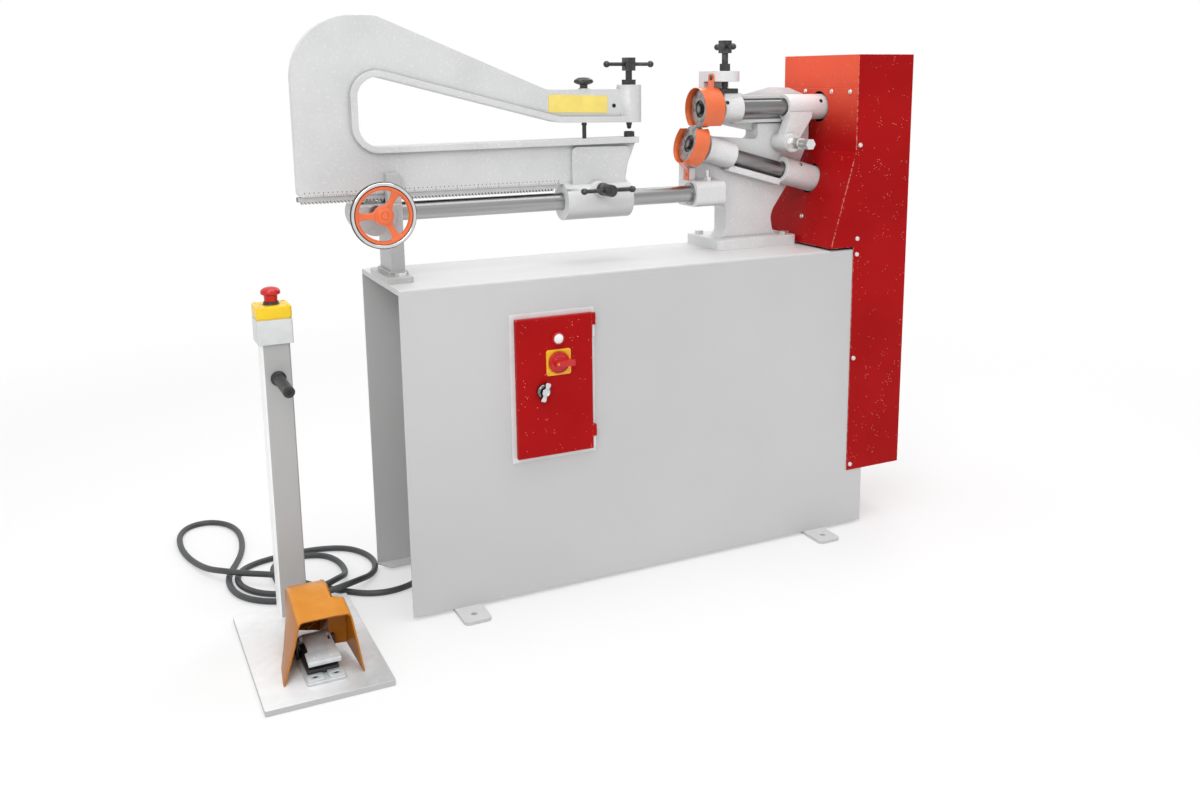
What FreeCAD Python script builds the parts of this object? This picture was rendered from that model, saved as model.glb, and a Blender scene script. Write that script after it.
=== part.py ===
import FreeCAD, Part
import math
import os
import re
import Sketcher

# Floor-standing circular shear with a sliding centre frame. Millimetres, +Z up, +X along the machine
# towards the belt cover, +Y to its back. The origin is on the floor, in the middle of the floor bolts.
# The guide bar, both cutter shafts and the centre clamp lie in the plane y = 0.

os.makedirs("parts", exist_ok=True)
V = FreeCAD.Vector
doc = FreeCAD.newDocument("CircularShear")

SIZES = [
    # cabinet
    ("cab_left", -611, "left end of the cabinet"),
    ("cab_len", 1247, "length of the cabinet"),
    ("cab_dep", 322, "depth of the cabinet"),
    ("cab_top", 758, "height of the worktop face"),
    ("top_t", 12, "thickness of the top plate"),
    ("top_round", 5, "rounding along the top plate's long edges"),
    ("sheet", 3, "cabinet sheet"),
    ("flange", 40, "width of the panels' bottom flanges"),
    ("foot_t", 8, "thickness of the floor feet"),
    ("foot_w", 64, "width of a foot"),
    ("foot_over", 77, "how far a foot stands out past the cabinet"),
    ("foot_round", 12, "corner rounding of a foot"),
    ("bolt_x", 483, "floor bolts from the middle, along the machine"),
    ("bolt_y", 203, "floor bolts from the middle, across it"),
    ("foot_hole", 7, "radius of a floor bolt hole"),
    # control box and door
    ("door_x", -355, "left edge of the door"),
    ("door_w", 187, "width of the door"),
    ("door_z", 344, "bottom edge of the door"),
    ("door_tall", 325, "height of the door"),
    ("door_t", 14, "depth of the door pan"),
    ("door_round", 3, "rounding of the door's front edges"),
    ("door_skin", 2, "sheet of the door and box"),
    ("door_gap", 0.5, "air between the door and its frame"),
    ("box_rim", 4, "how far the box frame stands out of the panel"),
    ("box_lap", 11, "how far the box frame laps past the door"),
    ("box_land", 12, "width of the box frame's land inside its edge"),
    ("box_dep", 138, "depth of the box behind the panel"),
    ("hinge_r", 4, "radius of a hinge knuckle"),
    ("hinge_pin", 2.5, "radius of a hinge pin"),
    ("hinge_tall", 28, "height of a hinge knuckle"),
    ("hinge_in", 30, "lower knuckle from the door's bottom edge"),
    ("run_gap", 0.05, "radial air of a running fit"),
    ("lamp_x", -255, "signal lamp, along"),
    ("lamp_drop", 50, "signal lamp below the door's top edge"),
    ("lamp_r", 15, "radius of the lamp's bezel"),
    ("switch_drop", 105, "main switch below the door's top edge"),
    ("switch_side", 60, "side of the switch's plate"),
    ("switch_plate_t", 4, "thickness of the switch's plate"),
    ("switch_neck", 9, "radius of the switch's neck"),
    ("knob_r", 25, "radius of the switch's knob"),
    ("latch_x", -293, "door latch, along"),
    ("latch_up", 156, "door latch above the door's bottom edge"),
    ("latch_r", 15, "radius of the latch's collar"),
    # belt cover
    ("cover_left", 585, "left face of the belt cover"),
    ("cover_right", 758, "right face of the belt cover"),
    ("cover_low", 157, "bottom of the belt cover"),
    ("cover_high", 1251, "top of the belt cover"),
    ("cover_sheet", 2, "sheet of the belt cover"),
    ("lean_high", 1008, "where the shaft cover starts to lean"),
    ("lean_low", 764, "bottom edge of the shaft cover"),
    ("lean_left", 515, "left end of the shaft cover at its bottom edge"),
    ("panel_top", 1166, "top edge of the shaft cover panel"),
    ("panel_lap", 20, "how far the panel laps over the belt cover"),
    ("panel_lip", 22, "width of the panel's side lips"),
    ("hole_r", 40, "radius of the panel's shaft holes"),
    ("screw_head", 6.5, "radius of a cover screw's head"),
    # drive
    ("motor_z", 308, "height of the gear motor's shaft"),
    ("motor_r", 68, "radius of the motor"),
    ("motor_len", 330, "length of the gear motor"),
    ("drive_shaft", 14, "radius of the gear motor's shaft"),
    ("pulley_r", 90, "radius of both belt pulleys"),
    ("pulley_x", 688, "left face of the pulleys"),
    ("pulley_w", 50, "width of a pulley"),
    ("belt_w", 40, "width of the belt"),
    ("belt_t", 5, "thickness of the belt"),
    ("belt_gap", 0.1, "air between the belt and a pulley"),
    # cutter shafts
    ("up_z", 1119, "height of the upper cutter shaft"),
    ("shaft_r", 19.5, "radius of both cutter shafts"),
    ("bush_r", 23, "outer radius of the bearing bushes"),
    ("slope", 15.5, "slope of the lower cutter shaft, degrees"),
    ("low_x", 389, "a point on the lower shaft's axis, along"),
    ("low_z", 978, "that point's height"),
    ("disc_r", 46.5, "radius of both cutter discs"),
    ("disc_x", 219, "cutting face of the upper disc"),
    ("disc_gap", 0.5, "air between the two cutting faces"),
    ("up_disc_t", 16, "thickness of the upper disc"),
    ("low_disc_t", 19, "thickness of the lower disc"),
    ("cup_r", 22, "radius of the recess in a disc's face"),
    ("cup_deep", 6, "depth of that recess"),
    ("spigot_r", 8, "radius of the spigot that carries a disc"),
    ("washer_r", 19, "radius of a disc's washer"),
    ("washer_t", 3, "thickness of a disc's washer"),
    ("nut_t", 8, "thickness of a disc's nut"),
    ("nut_r", 13, "corner radius of a disc's nut"),
    ("shoulder_r", 30, "radius of the shoulder behind a disc"),
    ("shoulder_t", 8, "thickness of that shoulder"),
    ("guard_r", 53, "outer radius of a disc guard"),
    ("guard_t", 1.5, "sheet of the disc guards"),
    ("guard_front", 13, "how far a guard stands out past its disc"),
    ("up_guard_len", 56, "length of the upper guard"),
    ("low_guard_len", 42, "length of the lower guard"),
    ("gear_teeth", 50, "teeth of a bevel gear"),
    ("gear_near", 734, "bevel gear's near face from the cone's point"),
    ("gear_w", 28, "width of a bevel gear"),
    ("gear_add", 2.2, "how far a tooth stands out of the pitch cone"),
    ("gear_ded", 6.4, "how deep a tooth space goes"),
    ("gear_tooth", 4.5, "thickness of a tooth on the pitch cone"),
    # head casting
    ("base_left", 268, "left edge of the head's base"),
    ("base_len", 241, "length of the head's base"),
    ("base_front", -20, "front edge of the head's base"),
    ("base_dep", 176, "depth of the head's base"),
    ("base_t", 26, "thickness of the head's base"),
    ("web_front", 20, "front face of the head's web"),
    ("web_t", 60, "thickness of the head's web"),
    ("sleeve_r", 35, "radius of the lower bearing housings"),
    ("sleeve_end", 163, "outer end of the left housing along the axis"),
    ("sleeve_start", 80, "inner end of the left housing"),
    ("house_start", -78, "inner end of the right housing"),
    ("house_end", -186, "outer end of the right housing"),
    ("rear_front", 42, "front face of the rear arm"),
    ("rear_t", 44, "thickness of the rear arm"),
    ("yoke_x", 291, "adjusting screw, along"),
    ("yoke_r", 37, "half width of the yoke"),
    ("yoke_low", 1186, "underside of the yoke"),
    ("yoke_t", 26, "thickness of the yoke"),
    ("pivot_x", 470, "pivot of the upper arm, along"),
    ("pivot_z", 1029, "pivot of the upper arm, height"),
    ("pivot_r", 24, "radius of the pivot bosses"),
    ("pivot_bolt", 10, "radius of the pivot bolt"),
    ("pivot_out", 112, "how far the pivot bolt's head stands in front"),
    # upper arm
    ("arm_left", 276, "left end of the arm's bearing head"),
    ("arm_head", 54, "length of the arm's bearing head"),
    ("arm_head_r", 35, "radius of the arm's bearing head"),
    ("arm_house", 470, "left end of the arm's right housing"),
    ("arm_right", 600, "right end of the arm's right housing"),
    ("arm_house_r", 33, "radius of the arm's right housing"),
    ("beam_front", 20.5, "front face of the arm's beam"),
    ("beam_t", 17.5, "thickness of the arm's beam"),
    ("beam_low", 1081, "underside of the beam"),
    ("beam_tall", 70, "height of the beam"),
    ("lug_front", -34, "front face of the pivot lug"),
    ("lug_back", -2, "back face of the pivot lug"),
    # adjusting screw
    ("keeper_z", 1157, "seat of the keeper plate"),
    ("keeper_t", 12, "thickness of the keeper plate"),
    ("keeper_side", 50, "side of the keeper plate"),
    ("pad_r", 11, "radius of the thrust pad"),
    ("pad_t", 4.6, "thickness of the thrust pad"),
    ("pad_neck", 6.5, "radius of the thrust pad's neck"),
    ("screw_r", 8, "radius of the two pressure screws"),
    ("head_side", 27, "side of a screw's head block"),
    ("head_tall", 31, "height of a screw's head block"),
    ("screw_head_z", 1256, "underside of the adjusting screw's head"),
    ("bar_r", 4.5, "radius of the tommy bars"),
    ("ball_r", 8, "radius of the balls on the tommy bars"),
    ("arm_bar_len", 92, "adjusting bar, ball to ball"),
    ("clamp_bar_len", 134, "centre clamp's bar, ball to ball"),
    ("collar_bar_len", 116, "collar's bar, ball to ball"),
    # guide bar and bracket
    ("bar_z", 908, "height of the guide bar"),
    ("guide_r", 21, "radius of the guide bar"),
    ("guide_left", -590, "left end of the guide bar"),
    ("guide_right", 270, "right end of the guide bar"),
    ("boss_left", 192, "left face of the guide bar's boss"),
    ("boss_len", 84, "length of that boss"),
    ("boss_half", 32, "half height of that boss"),
    ("boss_front", -36, "front face of that boss"),
    ("ring_r", 28, "radius of the ring at the boss"),
    ("ring_t", 5, "thickness of that ring"),
    ("post_left", -594, "left face of the bracket's column"),
    ("post_w", 31, "width of the bracket's column"),
    ("post_half", 47, "half depth of the bracket's column"),
    ("post_top", 929, "top of the bracket's column"),
    ("foot_plate_t", 14, "thickness of the bracket's foot"),
    ("foot_plate_w", 58, "width of the bracket's foot"),
    ("foot_plate_half", 84, "half depth of the bracket's foot"),
    ("fork_half", 19, "half width of the fork that guides the frame"),
    ("fork_t", 21, "thickness of a fork lug"),
    ("fork_top", 996, "top of the fork lugs"),
    ("gear_case_r", 45, "radius of the pinion housing"),
    ("gear_case_front", -58, "front face of the pinion housing"),
    ("gear_case_back", 45, "back face of the pinion housing"),
    # rack, pinion and handwheel
    ("module", 2.5, "module of the rack and pinion"),
    ("pinion_teeth", 18, "teeth of the pinion"),
    ("pinion_x", -624, "pinion, along"),
    ("rack_pitch", 937, "height of the rack's pitch line"),
    ("rack_left", -779, "left end of the rack"),
    ("rack_len", 601, "length of the rack"),
    ("rack_half", 10, "half width of the rack"),
    ("rack_top", 950, "top of the rack, underside of the frame"),
    ("mesh_gap", 0.3, "backlash of the rack and pinion"),
    ("hand_y", -120, "middle plane of the handwheel"),
    ("hand_r", 65, "radius of the middle of the handwheel's rim"),
    ("rim_r", 7, "radius of the rim's section"),
    ("hub_r", 24, "radius of the handwheel's hub"),
    ("hub_len", 32, "length of the handwheel's hub"),
    ("pinion_shaft", 8, "radius of the pinion's shaft"),
    # sliding centre frame
    ("frame_left", -779, "left end of the frame"),
    ("frame_high", 1333, "top of the frame"),
    ("frame_right", 34, "right end of the frame's arms"),
    ("frame_half", 13, "half thickness of the frame's web"),
    ("rim_half", 27, "half width of the frame's inner rim"),
    ("rim_t", 14, "thickness of the inner rim"),
    ("arm_top", 1171, "top of the frame's upper arm"),
    ("throat_top", 1092, "underside of the upper arm"),
    ("throat_low", 1057, "top of the lower arm at its tip"),
    ("throat_left", -634, "left end of the throat"),
    ("collar_left", -162, "left end of the sliding collar"),
    ("collar_len", 172, "length of the sliding collar"),
    ("collar_r", 45, "radius of the sliding collar"),
    ("slide_gap", 0.08, "radial air of the collar on the bar"),
    ("clamp_x", 20, "centre clamp, along"),
    ("clamp_boss_r", 30, "radius of the centre clamp's boss"),
    ("clamp_boss_top", 1181, "top of the centre clamp's boss"),
    ("anvil_r", 13, "radius of the anvil"),
    ("anvil_tall", 12, "height of the anvil"),
    ("point_tip", 1075, "tip of the clamp's point"),
    ("point_top", 1110, "top of the clamp's point"),
    ("clamp_head_z", 1214, "underside of the centre clamp's head"),
    ("spindle_nut_t", 12, "thickness of the centre clamp's lock nut"),
    ("spindle_nut_r", 19, "corner radius of that nut"),
    ("stay_x", -100, "stay screw, along"),
    ("stay_r", 5, "radius of the stay's rod"),
    ("stay_knob_r", 24, "radius of the star knob"),
    ("tee_x", -80, "collar's clamp screw, along"),
    ("tee_z", 938, "collar's clamp screw, height"),
    ("tee_r", 8, "radius of the collar's clamp screw"),
    ("tee_boss_r", 18, "radius of the clamp screw's boss"),
    ("tee_y", -90, "bar of the collar's clamp screw, across"),
    # foot switch station
    ("stand_left", -974, "left edge of the station's plate"),
    ("stand_w", 255, "width of the station's plate"),
    ("stand_front", -409, "front edge of the station's plate"),
    ("stand_dep", 439, "depth of the station's plate"),
    ("stand_t", 12, "thickness of the station's plate"),
    ("tube_left", -878, "left face of the station's post"),
    ("tube_side", 60, "side of the station's post"),
    ("tube_wall", 2.5, "wall of the station's post"),
    ("tube_top", 642, "top of the station's post"),
    ("case_side", 74, "side of the stop box"),
    ("case_base", 54, "height of the stop box's base"),
    ("case_lid", 28, "height of the stop box's lid"),
    ("case_wall", 3, "wall of the stop box"),
    ("stop_neck", 15, "radius of the stop button's collar"),
    ("stop_neck_tall", 16, "height of that collar"),
    ("stop_r", 21, "radius of the stop button"),
    ("stop_tall", 17, "height of the stop button"),
    ("stop_gap", 5, "travel of the stop button and a little air"),
    ("grip_z", 565, "height of the grip"),
    ("grip_r", 12.5, "radius of the grip"),
    ("grip_len", 128, "length of the grip"),
    ("pedal_left", -884, "left edge of the foot switch"),
    ("pedal_w", 80, "width of the foot switch"),
    ("pedal_front", -370, "front edge of the foot switch"),
    ("pedal_dep", 150, "depth of the foot switch"),
    ("pedal_z", 52, "height of the pedal's hinge"),
    ("pedal_pin", 4, "radius of the pedal's hinge pin"),
    ("guard_wall", 3, "wall of the pedal guard"),
    ("guard_left", -930, "left foot of the pedal guard"),
    ("guard_w", 168, "width of the pedal guard at the plate"),
    ("roof_left", -884, "left edge of the guard's roof"),
    ("roof_w", 104, "width of the guard's roof"),
    ("guard_front_y", -340, "front of the pedal guard at the plate"),
    ("roof_front", -300, "front edge of the guard's roof"),
    ("guard_back", -196, "back of the pedal guard"),
    ("roof_z", 128, "height of the guard's roof"),
    ("cord_r", 7.5, "radius of the control cord"),
]

sizes = doc.addObject("Spreadsheet::Sheet", "Sizes")
for row, (name, value, meaning) in enumerate(SIZES, 1):
    sizes.set("A%d" % row, meaning)
    sizes.set("B%d" % row, str(value))
    sizes.setAlias("B%d" % row, name)
doc.recompute()

KNOWN = re.compile(r"\b(%s)\b" % "|".join(name for name, value, meaning in SIZES))
kept = []


def bound(words):
    """The expression with the sheet's name before each size."""
    return KNOWN.sub(r"Sizes.\1", str(words))


def num(words):
    """What the expression is worth now."""
    return float(sizes.evalExpression(bound(words)))


def tie(thing, **values):
    """Bind properties of a thing to expressions of the sizes."""
    for prop, words in values.items():
        thing.setExpression(prop, bound(words))


# Directions that a cylinder or a turned piece can point in: the turn and its angle. "low" is the
# lower cutter shaft's own axis, up to the left; "lean" is square to the leaning shaft cover.
TURNS = {
    "z": (V(0, 0, 1), "0"),
    "x": (V(0, 1, 0), "90"),
    "-x": (V(0, 1, 0), "-90"),
    "y": (V(1, 0, 0), "-90"),
    "-y": (V(1, 0, 0), "90"),
    "low": (V(0, -1, 0), "90 - slope"),
    "lean": (V(0, -1, 0), "90 deg - atan((cover_left - lean_left)/(lean_high - lean_low))"),
}


def place(thing, at, along="z"):
    """Put a thing's own origin at a point, its own Z along a direction."""
    axis, angle = TURNS[along]
    thing.Placement = FreeCAD.Placement(V(), FreeCAD.Rotation(axis, num(angle)))
    if along in ("low", "lean"):
        thing.setExpression("Placement.Rotation.Angle", bound(angle))
    for letter, words in zip("xyz", at):
        thing.setExpression("Placement.Base." + letter, bound(words))
    return thing


def on_low(reach):
    """A point on the lower shaft's axis, that far up to the left of the sheet's point."""
    return ("low_x - (%s)*cos(slope)" % reach, "0", "low_z + (%s)*sin(slope)" % reach)


def block(at, size):
    thing = doc.addObject("Part::Box", "Block")
    tie(thing, Length=size[0], Width=size[1], Height=size[2])
    return place(thing, at)


def rod(radius, length, at, along="z"):
    thing = doc.addObject("Part::Cylinder", "Rod")
    tie(thing, Radius=radius, Height=length)
    return place(thing, at, along)


def cone(low_radius, high_radius, length, at, along="z"):
    thing = doc.addObject("Part::Cone", "Taper")
    tie(thing, Radius1=low_radius, Radius2=high_radius, Height=length)
    return place(thing, at, along)


def ball(radius, at, along="z"):
    thing = doc.addObject("Part::Sphere", "Ball")
    tie(thing, Radius=radius)
    return place(thing, at, along)


def hexagon(corner_radius, length, at, along="z"):
    thing = doc.addObject("Part::Prism", "Hexagon")
    thing.Polygon = 6
    tie(thing, Circumradius=corner_radius, Height=length)
    return place(thing, at, along)


def hoop(radius, section, at, along="z"):
    thing = doc.addObject("Part::Torus", "Hoop")
    tie(thing, Radius1=radius, Radius2=section)
    return place(thing, at, along)


def fused(*things):
    thing = doc.addObject("Part::MultiFuse", "Joined")
    thing.Shapes = list(things)
    thing.Refine = True
    return thing


def less(base, *tools):
    """The base with the tools cut away, one after the other."""
    for tool in tools:
        thing = doc.addObject("Part::Cut", "Cut")
        thing.Base = base
        thing.Tool = tool
        base = thing
    return base


def softened(base, radius, where):
    """Rounds the edges whose middle passes the test."""
    doc.recompute()
    picked = [number for number, edge in enumerate(base.Shape.Edges, 1) if where(edge.CenterOfMass)]
    thing = doc.addObject("Part::Fillet", "Rounded")
    thing.Base = base
    thing.Edges = [(number, num(radius), num(radius)) for number in picked]
    return thing


def keep(node, thing):
    """The finished sub-part, under the name that its file gets."""
    thing.Label = node
    kept.append(thing)
    return thing


def origin_plane(body, role):
    return next(item for item in body.Origin.OriginFeatures if item.Role == role)


def hold_point(sketch, line, end, across, up):
    """Bind one point of a sketch to its two distances from the sketch's origin."""
    for kind, words in (("DistanceX", across), ("DistanceY", up)):
        index = sketch.addConstraint(Sketcher.Constraint(kind, -1, 1, line, end, num(words)))
        sketch.setExpression("Constraints[%d]" % index, bound(words))


def draw_outline(sketch, corners):
    """A closed outline through corners (across, up) or (across, up, radius)."""
    corners = [tuple(corner) + ("0",) * (3 - len(corner)) for corner in corners]
    points = [V(num(across), num(up), 0) for across, up, radius in corners]
    count = len(points)
    stops = []
    for index, point in enumerate(points):
        radius = num(corners[index][2])
        back = (points[index - 1] - point).normalize()
        ahead = (points[(index + 1) % count] - point).normalize()
        half = back.getAngle(ahead) / 2
        reach = radius / math.tan(half)
        stops.append((point + back * reach, point + ahead * reach, back, ahead, half, radius))
    lines = []
    for index in range(count):
        line = Part.LineSegment(stops[index][1], stops[(index + 1) % count][0])
        lines.append(sketch.addGeometry(line, False))
    for index, (across, up, words) in enumerate(corners):
        arrive, leave, back, ahead, half, radius = stops[index]
        before = lines[index - 1]
        after = lines[index]
        if radius == 0:
            sketch.addConstraint(Sketcher.Constraint("Coincident", before, 2, after, 1))
            hold_point(sketch, after, 1, across, up)
            continue
        centre = points[index] + (back + ahead).normalize() * (radius / math.sin(half))
        turns_left = back.cross(ahead).z < 0
        first, last = (arrive, leave) if turns_left else (leave, arrive)
        start = math.atan2(first.y - centre.y, first.x - centre.x)
        finish = math.atan2(last.y - centre.y, last.x - centre.x)
        if finish < start:
            finish += 2 * math.pi
        circle = Part.Circle(centre, V(0, 0, 1), radius)
        arc = sketch.addGeometry(Part.ArcOfCircle(circle, start, finish), False)
        into, out = (1, 2) if turns_left else (2, 1)
        sketch.addConstraint(Sketcher.Constraint("Tangent", before, 2, arc, into))
        sketch.addConstraint(Sketcher.Constraint("Tangent", after, 1, arc, out))
        bend = sketch.addConstraint(Sketcher.Constraint("Radius", arc, radius))
        sketch.setExpression("Constraints[%d]" % bend, bound(words))
        mark = sketch.addGeometry(Part.Point(points[index]), True)
        sketch.addConstraint(Sketcher.Constraint("PointOnObject", mark, 1, before))
        sketch.addConstraint(Sketcher.Constraint("PointOnObject", mark, 1, after))
        hold_point(sketch, mark, 1, across, up)


def draw_circle(sketch, across, up, radius):
    circle = Part.Circle(V(num(across), num(up), 0), V(0, 0, 1), num(radius))
    index = sketch.addGeometry(circle, False)
    hold_point(sketch, index, 3, across, up)
    bend = sketch.addConstraint(Sketcher.Constraint("Radius", index, num(radius)))
    sketch.setExpression("Constraints[%d]" % bend, bound(radius))


def new_sketch(body, role):
    sketch = body.newObject("Sketcher::SketchObject", "Outline")
    sketch.AttachmentSupport = (origin_plane(body, role), "")
    sketch.MapMode = "FlatFace"
    return sketch


def slab(role, corners, low, high, holes=()):
    """A plate with an outline in one of the main planes, from low to high across that plane.

    In the XZ plane the sketch looks along +Y and the pad runs towards -Y, so it starts at high.
    """
    body = doc.addObject("PartDesign::Body", "Slab")
    sketch = new_sketch(body, role)
    start = "-(%s)" % high if role == "XZ_Plane" else low
    sketch.setExpression("AttachmentOffset.Base.z", bound(start))
    draw_outline(sketch, corners)
    for hole in holes:
        if len(hole) == 3 and isinstance(hole[0], str):
            draw_circle(sketch, *hole)
        else:
            draw_outline(sketch, hole)
    pad = body.newObject("PartDesign::Pad", "Plate")
    pad.Profile = sketch
    tie(pad, Length="(%s) - (%s)" % (high, low))
    return body


def turned(corners, at, along="z"):
    """A piece turned about its own Z, from an outline of (radius, height) corners."""
    body = doc.addObject("PartDesign::Body", "Turned")
    sketch = new_sketch(body, "XZ_Plane")
    draw_outline(sketch, corners)
    turn = body.newObject("PartDesign::Revolution", "Turn")
    turn.Profile = sketch
    turn.ReferenceAxis = (sketch, ["V_Axis"])
    turn.Angle = 360
    return place(body, at, along)


def made(name, shape):
    """A shape that neither a sketch nor a primitive makes."""
    thing = doc.addObject("Part::Feature", name)
    thing.Shape = shape
    return thing


# Cabinet: two folded panels under a thick top plate, open at the left end, on two feet.

CAB_RIGHT = "cab_left + cab_len"
PANEL_TOP = "cab_top - top_t"
FRONT = "-cab_dep/2"
BACK = "cab_dep/2"
BOX_LEFT = "door_x - box_lap + box_land"
BOX_WIDE = "door_w + 2*box_lap - 2*box_land"
BOX_FOOT = "door_z - box_lap + box_land"
BOX_TALL = "door_tall + 2*box_lap - 2*box_land"


def bottom_flange(edge, inner):
    return slab("XY_Plane", [
        ("cab_left", edge), (CAB_RIGHT, edge), (CAB_RIGHT, inner), ("cab_left + flange*0.6", inner),
    ], "foot_t", "foot_t + sheet")


wall = block(("cab_left", FRONT, "foot_t"), ("cab_len", "sheet", PANEL_TOP + " - foot_t"))
window = block((BOX_LEFT, FRONT + " - 1", BOX_FOOT), (BOX_WIDE, "sheet + 2", BOX_TALL))
keep("front_panel", fused(less(wall, window), bottom_flange(FRONT, FRONT + " + flange")))

wall = block(("cab_left", BACK + " - sheet", "foot_t"), ("cab_len", "sheet", PANEL_TOP + " - foot_t"))
end_wall = less(
    block((CAB_RIGHT + " - sheet", FRONT + " + sheet", "foot_t"),
          ("sheet", "cab_dep - 2*sheet", PANEL_TOP + " - foot_t")),
    rod("drive_shaft + 16", "sheet + 2", (CAB_RIGHT + " - sheet - 1", "0", "motor_z"), "x"),
)
keep("back_panel", less(
    fused(wall, end_wall, bottom_flange(BACK, BACK + " - flange")),
    block((CAB_RIGHT + " - sheet - 1", FRONT, "foot_t - 1"), ("sheet + 2", "flange + sheet", "sheet + 1")),
))

HEAD_BOLTS = [
    ("base_left + 24", "base_front + base_dep - 30"),
    ("base_left + base_len - 24", "base_front + 26"),
    ("base_left + base_len - 24", "base_front + base_dep - 30"),
]
FOOT_BOLTS = [("post_left + post_w/2", "-foot_plate_half + 18"), ("post_left + post_w/2", "foot_plate_half - 18")]
top = slab("YZ_Plane", [
    (FRONT, PANEL_TOP), (BACK, PANEL_TOP), (BACK, "cab_top", "top_round"), (FRONT, "cab_top", "top_round"),
], "cab_left", CAB_RIGHT)
for x, y in HEAD_BOLTS + FOOT_BOLTS:
    top = less(top, rod("6", "top_t + 2", (x, y, PANEL_TOP + " - 1")))
keep("top_plate", top)

FOOT_END = "cab_dep/2 + foot_over"
feet = []
for side in ("-", ""):
    middle = side + "bolt_x"
    feet.append(slab("XY_Plane", [
        (middle + " - foot_w/2", "-(%s)" % FOOT_END, "foot_round"),
        (middle + " + foot_w/2", "-(%s)" % FOOT_END, "foot_round"),
        (middle + " + foot_w/2", FOOT_END, "foot_round"),
        (middle + " - foot_w/2", FOOT_END, "foot_round"),
    ], "0", "foot_t", [(middle, "-bolt_y", "foot_hole"), (middle, "bolt_y", "foot_hole")]))
keep("floor_feet", fused(*feet))

# Control box behind the front panel, its frame a little proud of it, and the gear on its back wall.

RIM_FACE = FRONT + " - box_rim"
DOOR_BACK = RIM_FACE + " - door_gap"
DOOR_FACE = DOOR_BACK + " - door_t"
HINGE_X = "door_x + door_w + hinge_r + 0.2"
HINGE_Y = DOOR_BACK + " - door_t/2"
LAMP_Z = "door_z + door_tall - lamp_drop"
SWITCH_Z = "door_z + door_tall - switch_drop"
LATCH_Z = "door_z + latch_up"
HINGES = ["door_z + hinge_in", "door_z + door_tall - hinge_tall"]

frame = block(("door_x - box_lap", RIM_FACE, "door_z - box_lap"),
              ("door_w + 2*box_lap", "box_rim", "door_tall + 2*box_lap"))
tub = block((BOX_LEFT, FRONT, BOX_FOOT), (BOX_WIDE, "box_dep", BOX_TALL))
hollow = block((BOX_LEFT + " + door_skin", RIM_FACE + " - 1", BOX_FOOT + " + door_skin"),
               (BOX_WIDE + " - 2*door_skin", "box_dep + box_rim + 1 - door_skin", BOX_TALL + " - 2*door_skin"))
GLAND_Z = BOX_FOOT + " + 34"
GLAND_Y = FRONT + " + box_dep - 50"
entry = rod("cord_r + 3", "door_skin + 2", (BOX_LEFT + " - 1", GLAND_Y, GLAND_Z), "x")
catch = block((BOX_LEFT, RIM_FACE, LATCH_Z + " - 16"), ("38", "box_rim/2", "32"))
ears = []
for foot in HINGES:
    ear_low = "%s - hinge_tall" % foot
    ears.append(rod("hinge_r", "hinge_tall - 0.3", (HINGE_X, HINGE_Y, ear_low)))
    ears.append(block((HINGE_X + " - hinge_r + 0.1", HINGE_Y, ear_low),
                      ("2*hinge_r - 0.2", "door_t/2 + door_gap", "hinge_tall - 0.3")))
    ears.append(rod("hinge_pin", "2*hinge_tall - 3", (HINGE_X, HINGE_Y, ear_low)))
keep("control_box", fused(less(fused(frame, tub), hollow, entry), catch, *ears))

GEAR_BACK = FRONT + " + box_dep - door_skin"
gear_plate = block((BOX_LEFT + " + 18", GEAR_BACK + " - 2", BOX_FOOT + " + 22"),
                   (BOX_WIDE + " - 36", "2", BOX_TALL + " - 44"))
rail = block((BOX_LEFT + " + 26", GEAR_BACK + " - 9", "door_z + 206"), (BOX_WIDE + " - 52", "7", "35"))
contactors = [block((BOX_LEFT + " + %d" % step, GEAR_BACK + " - 82", "door_z + 180"), ("45", "73", "82"))
              for step in (32, 80)]
transformer = block((BOX_LEFT + " + 34", GEAR_BACK + " - 70", "door_z + 60"), ("64", "68", "74"))
terminals = block((BOX_LEFT + " + 108", GEAR_BACK + " - 42", "door_z + 70"), ("36", "40", "50"))
keep("control_gear", fused(gear_plate, rail, transformer, terminals, *contactors))

# Door with its hinge knuckles; lamp, main switch and latch in it.

pan = softened(block(("door_x", DOOR_FACE, "door_z"), ("door_w", "door_t", "door_tall")),
               "door_round", lambda middle: middle.y < num(DOOR_FACE) + 0.1)
inside = block(("door_x + door_skin", DOOR_FACE + " + door_skin", "door_z + door_skin"),
               ("door_w - 2*door_skin", "door_t", "door_tall - 2*door_skin"))
knuckles = []
bores = []
for foot in HINGES:
    knuckles.append(block(("door_x + door_w - door_skin", DOOR_FACE, foot),
                          ("2*hinge_r + 0.2 + door_skin", "door_t - 3", "hinge_tall")))
    bores.append(rod("hinge_pin + run_gap", "hinge_tall + 2", (HINGE_X, HINGE_Y, foot + " - 1")))
door_holes = [rod(radius, "door_skin + 2", (x, DOOR_FACE + " - 1", z), "y") for radius, x, z in (
    ("lamp_r - 4", "lamp_x", LAMP_Z), ("switch_neck", "lamp_x", SWITCH_Z), ("latch_r - 4.6", "latch_x", LATCH_Z))]
keep("control_door", less(fused(less(pan, inside), *knuckles), *(bores + door_holes)))

keep("signal_lamp", turned([
    ("0", "-34"), ("lamp_r - 4", "-34"), ("lamp_r - 4", "0"), ("lamp_r", "0"), ("lamp_r", "4"),
    ("lamp_r - 2", "6"), ("lamp_r - 2.5", "8"), ("lamp_r - 6", "10.5"), ("0", "11.5"),
], ("lamp_x", DOOR_FACE, LAMP_Z), "-y"))

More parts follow.
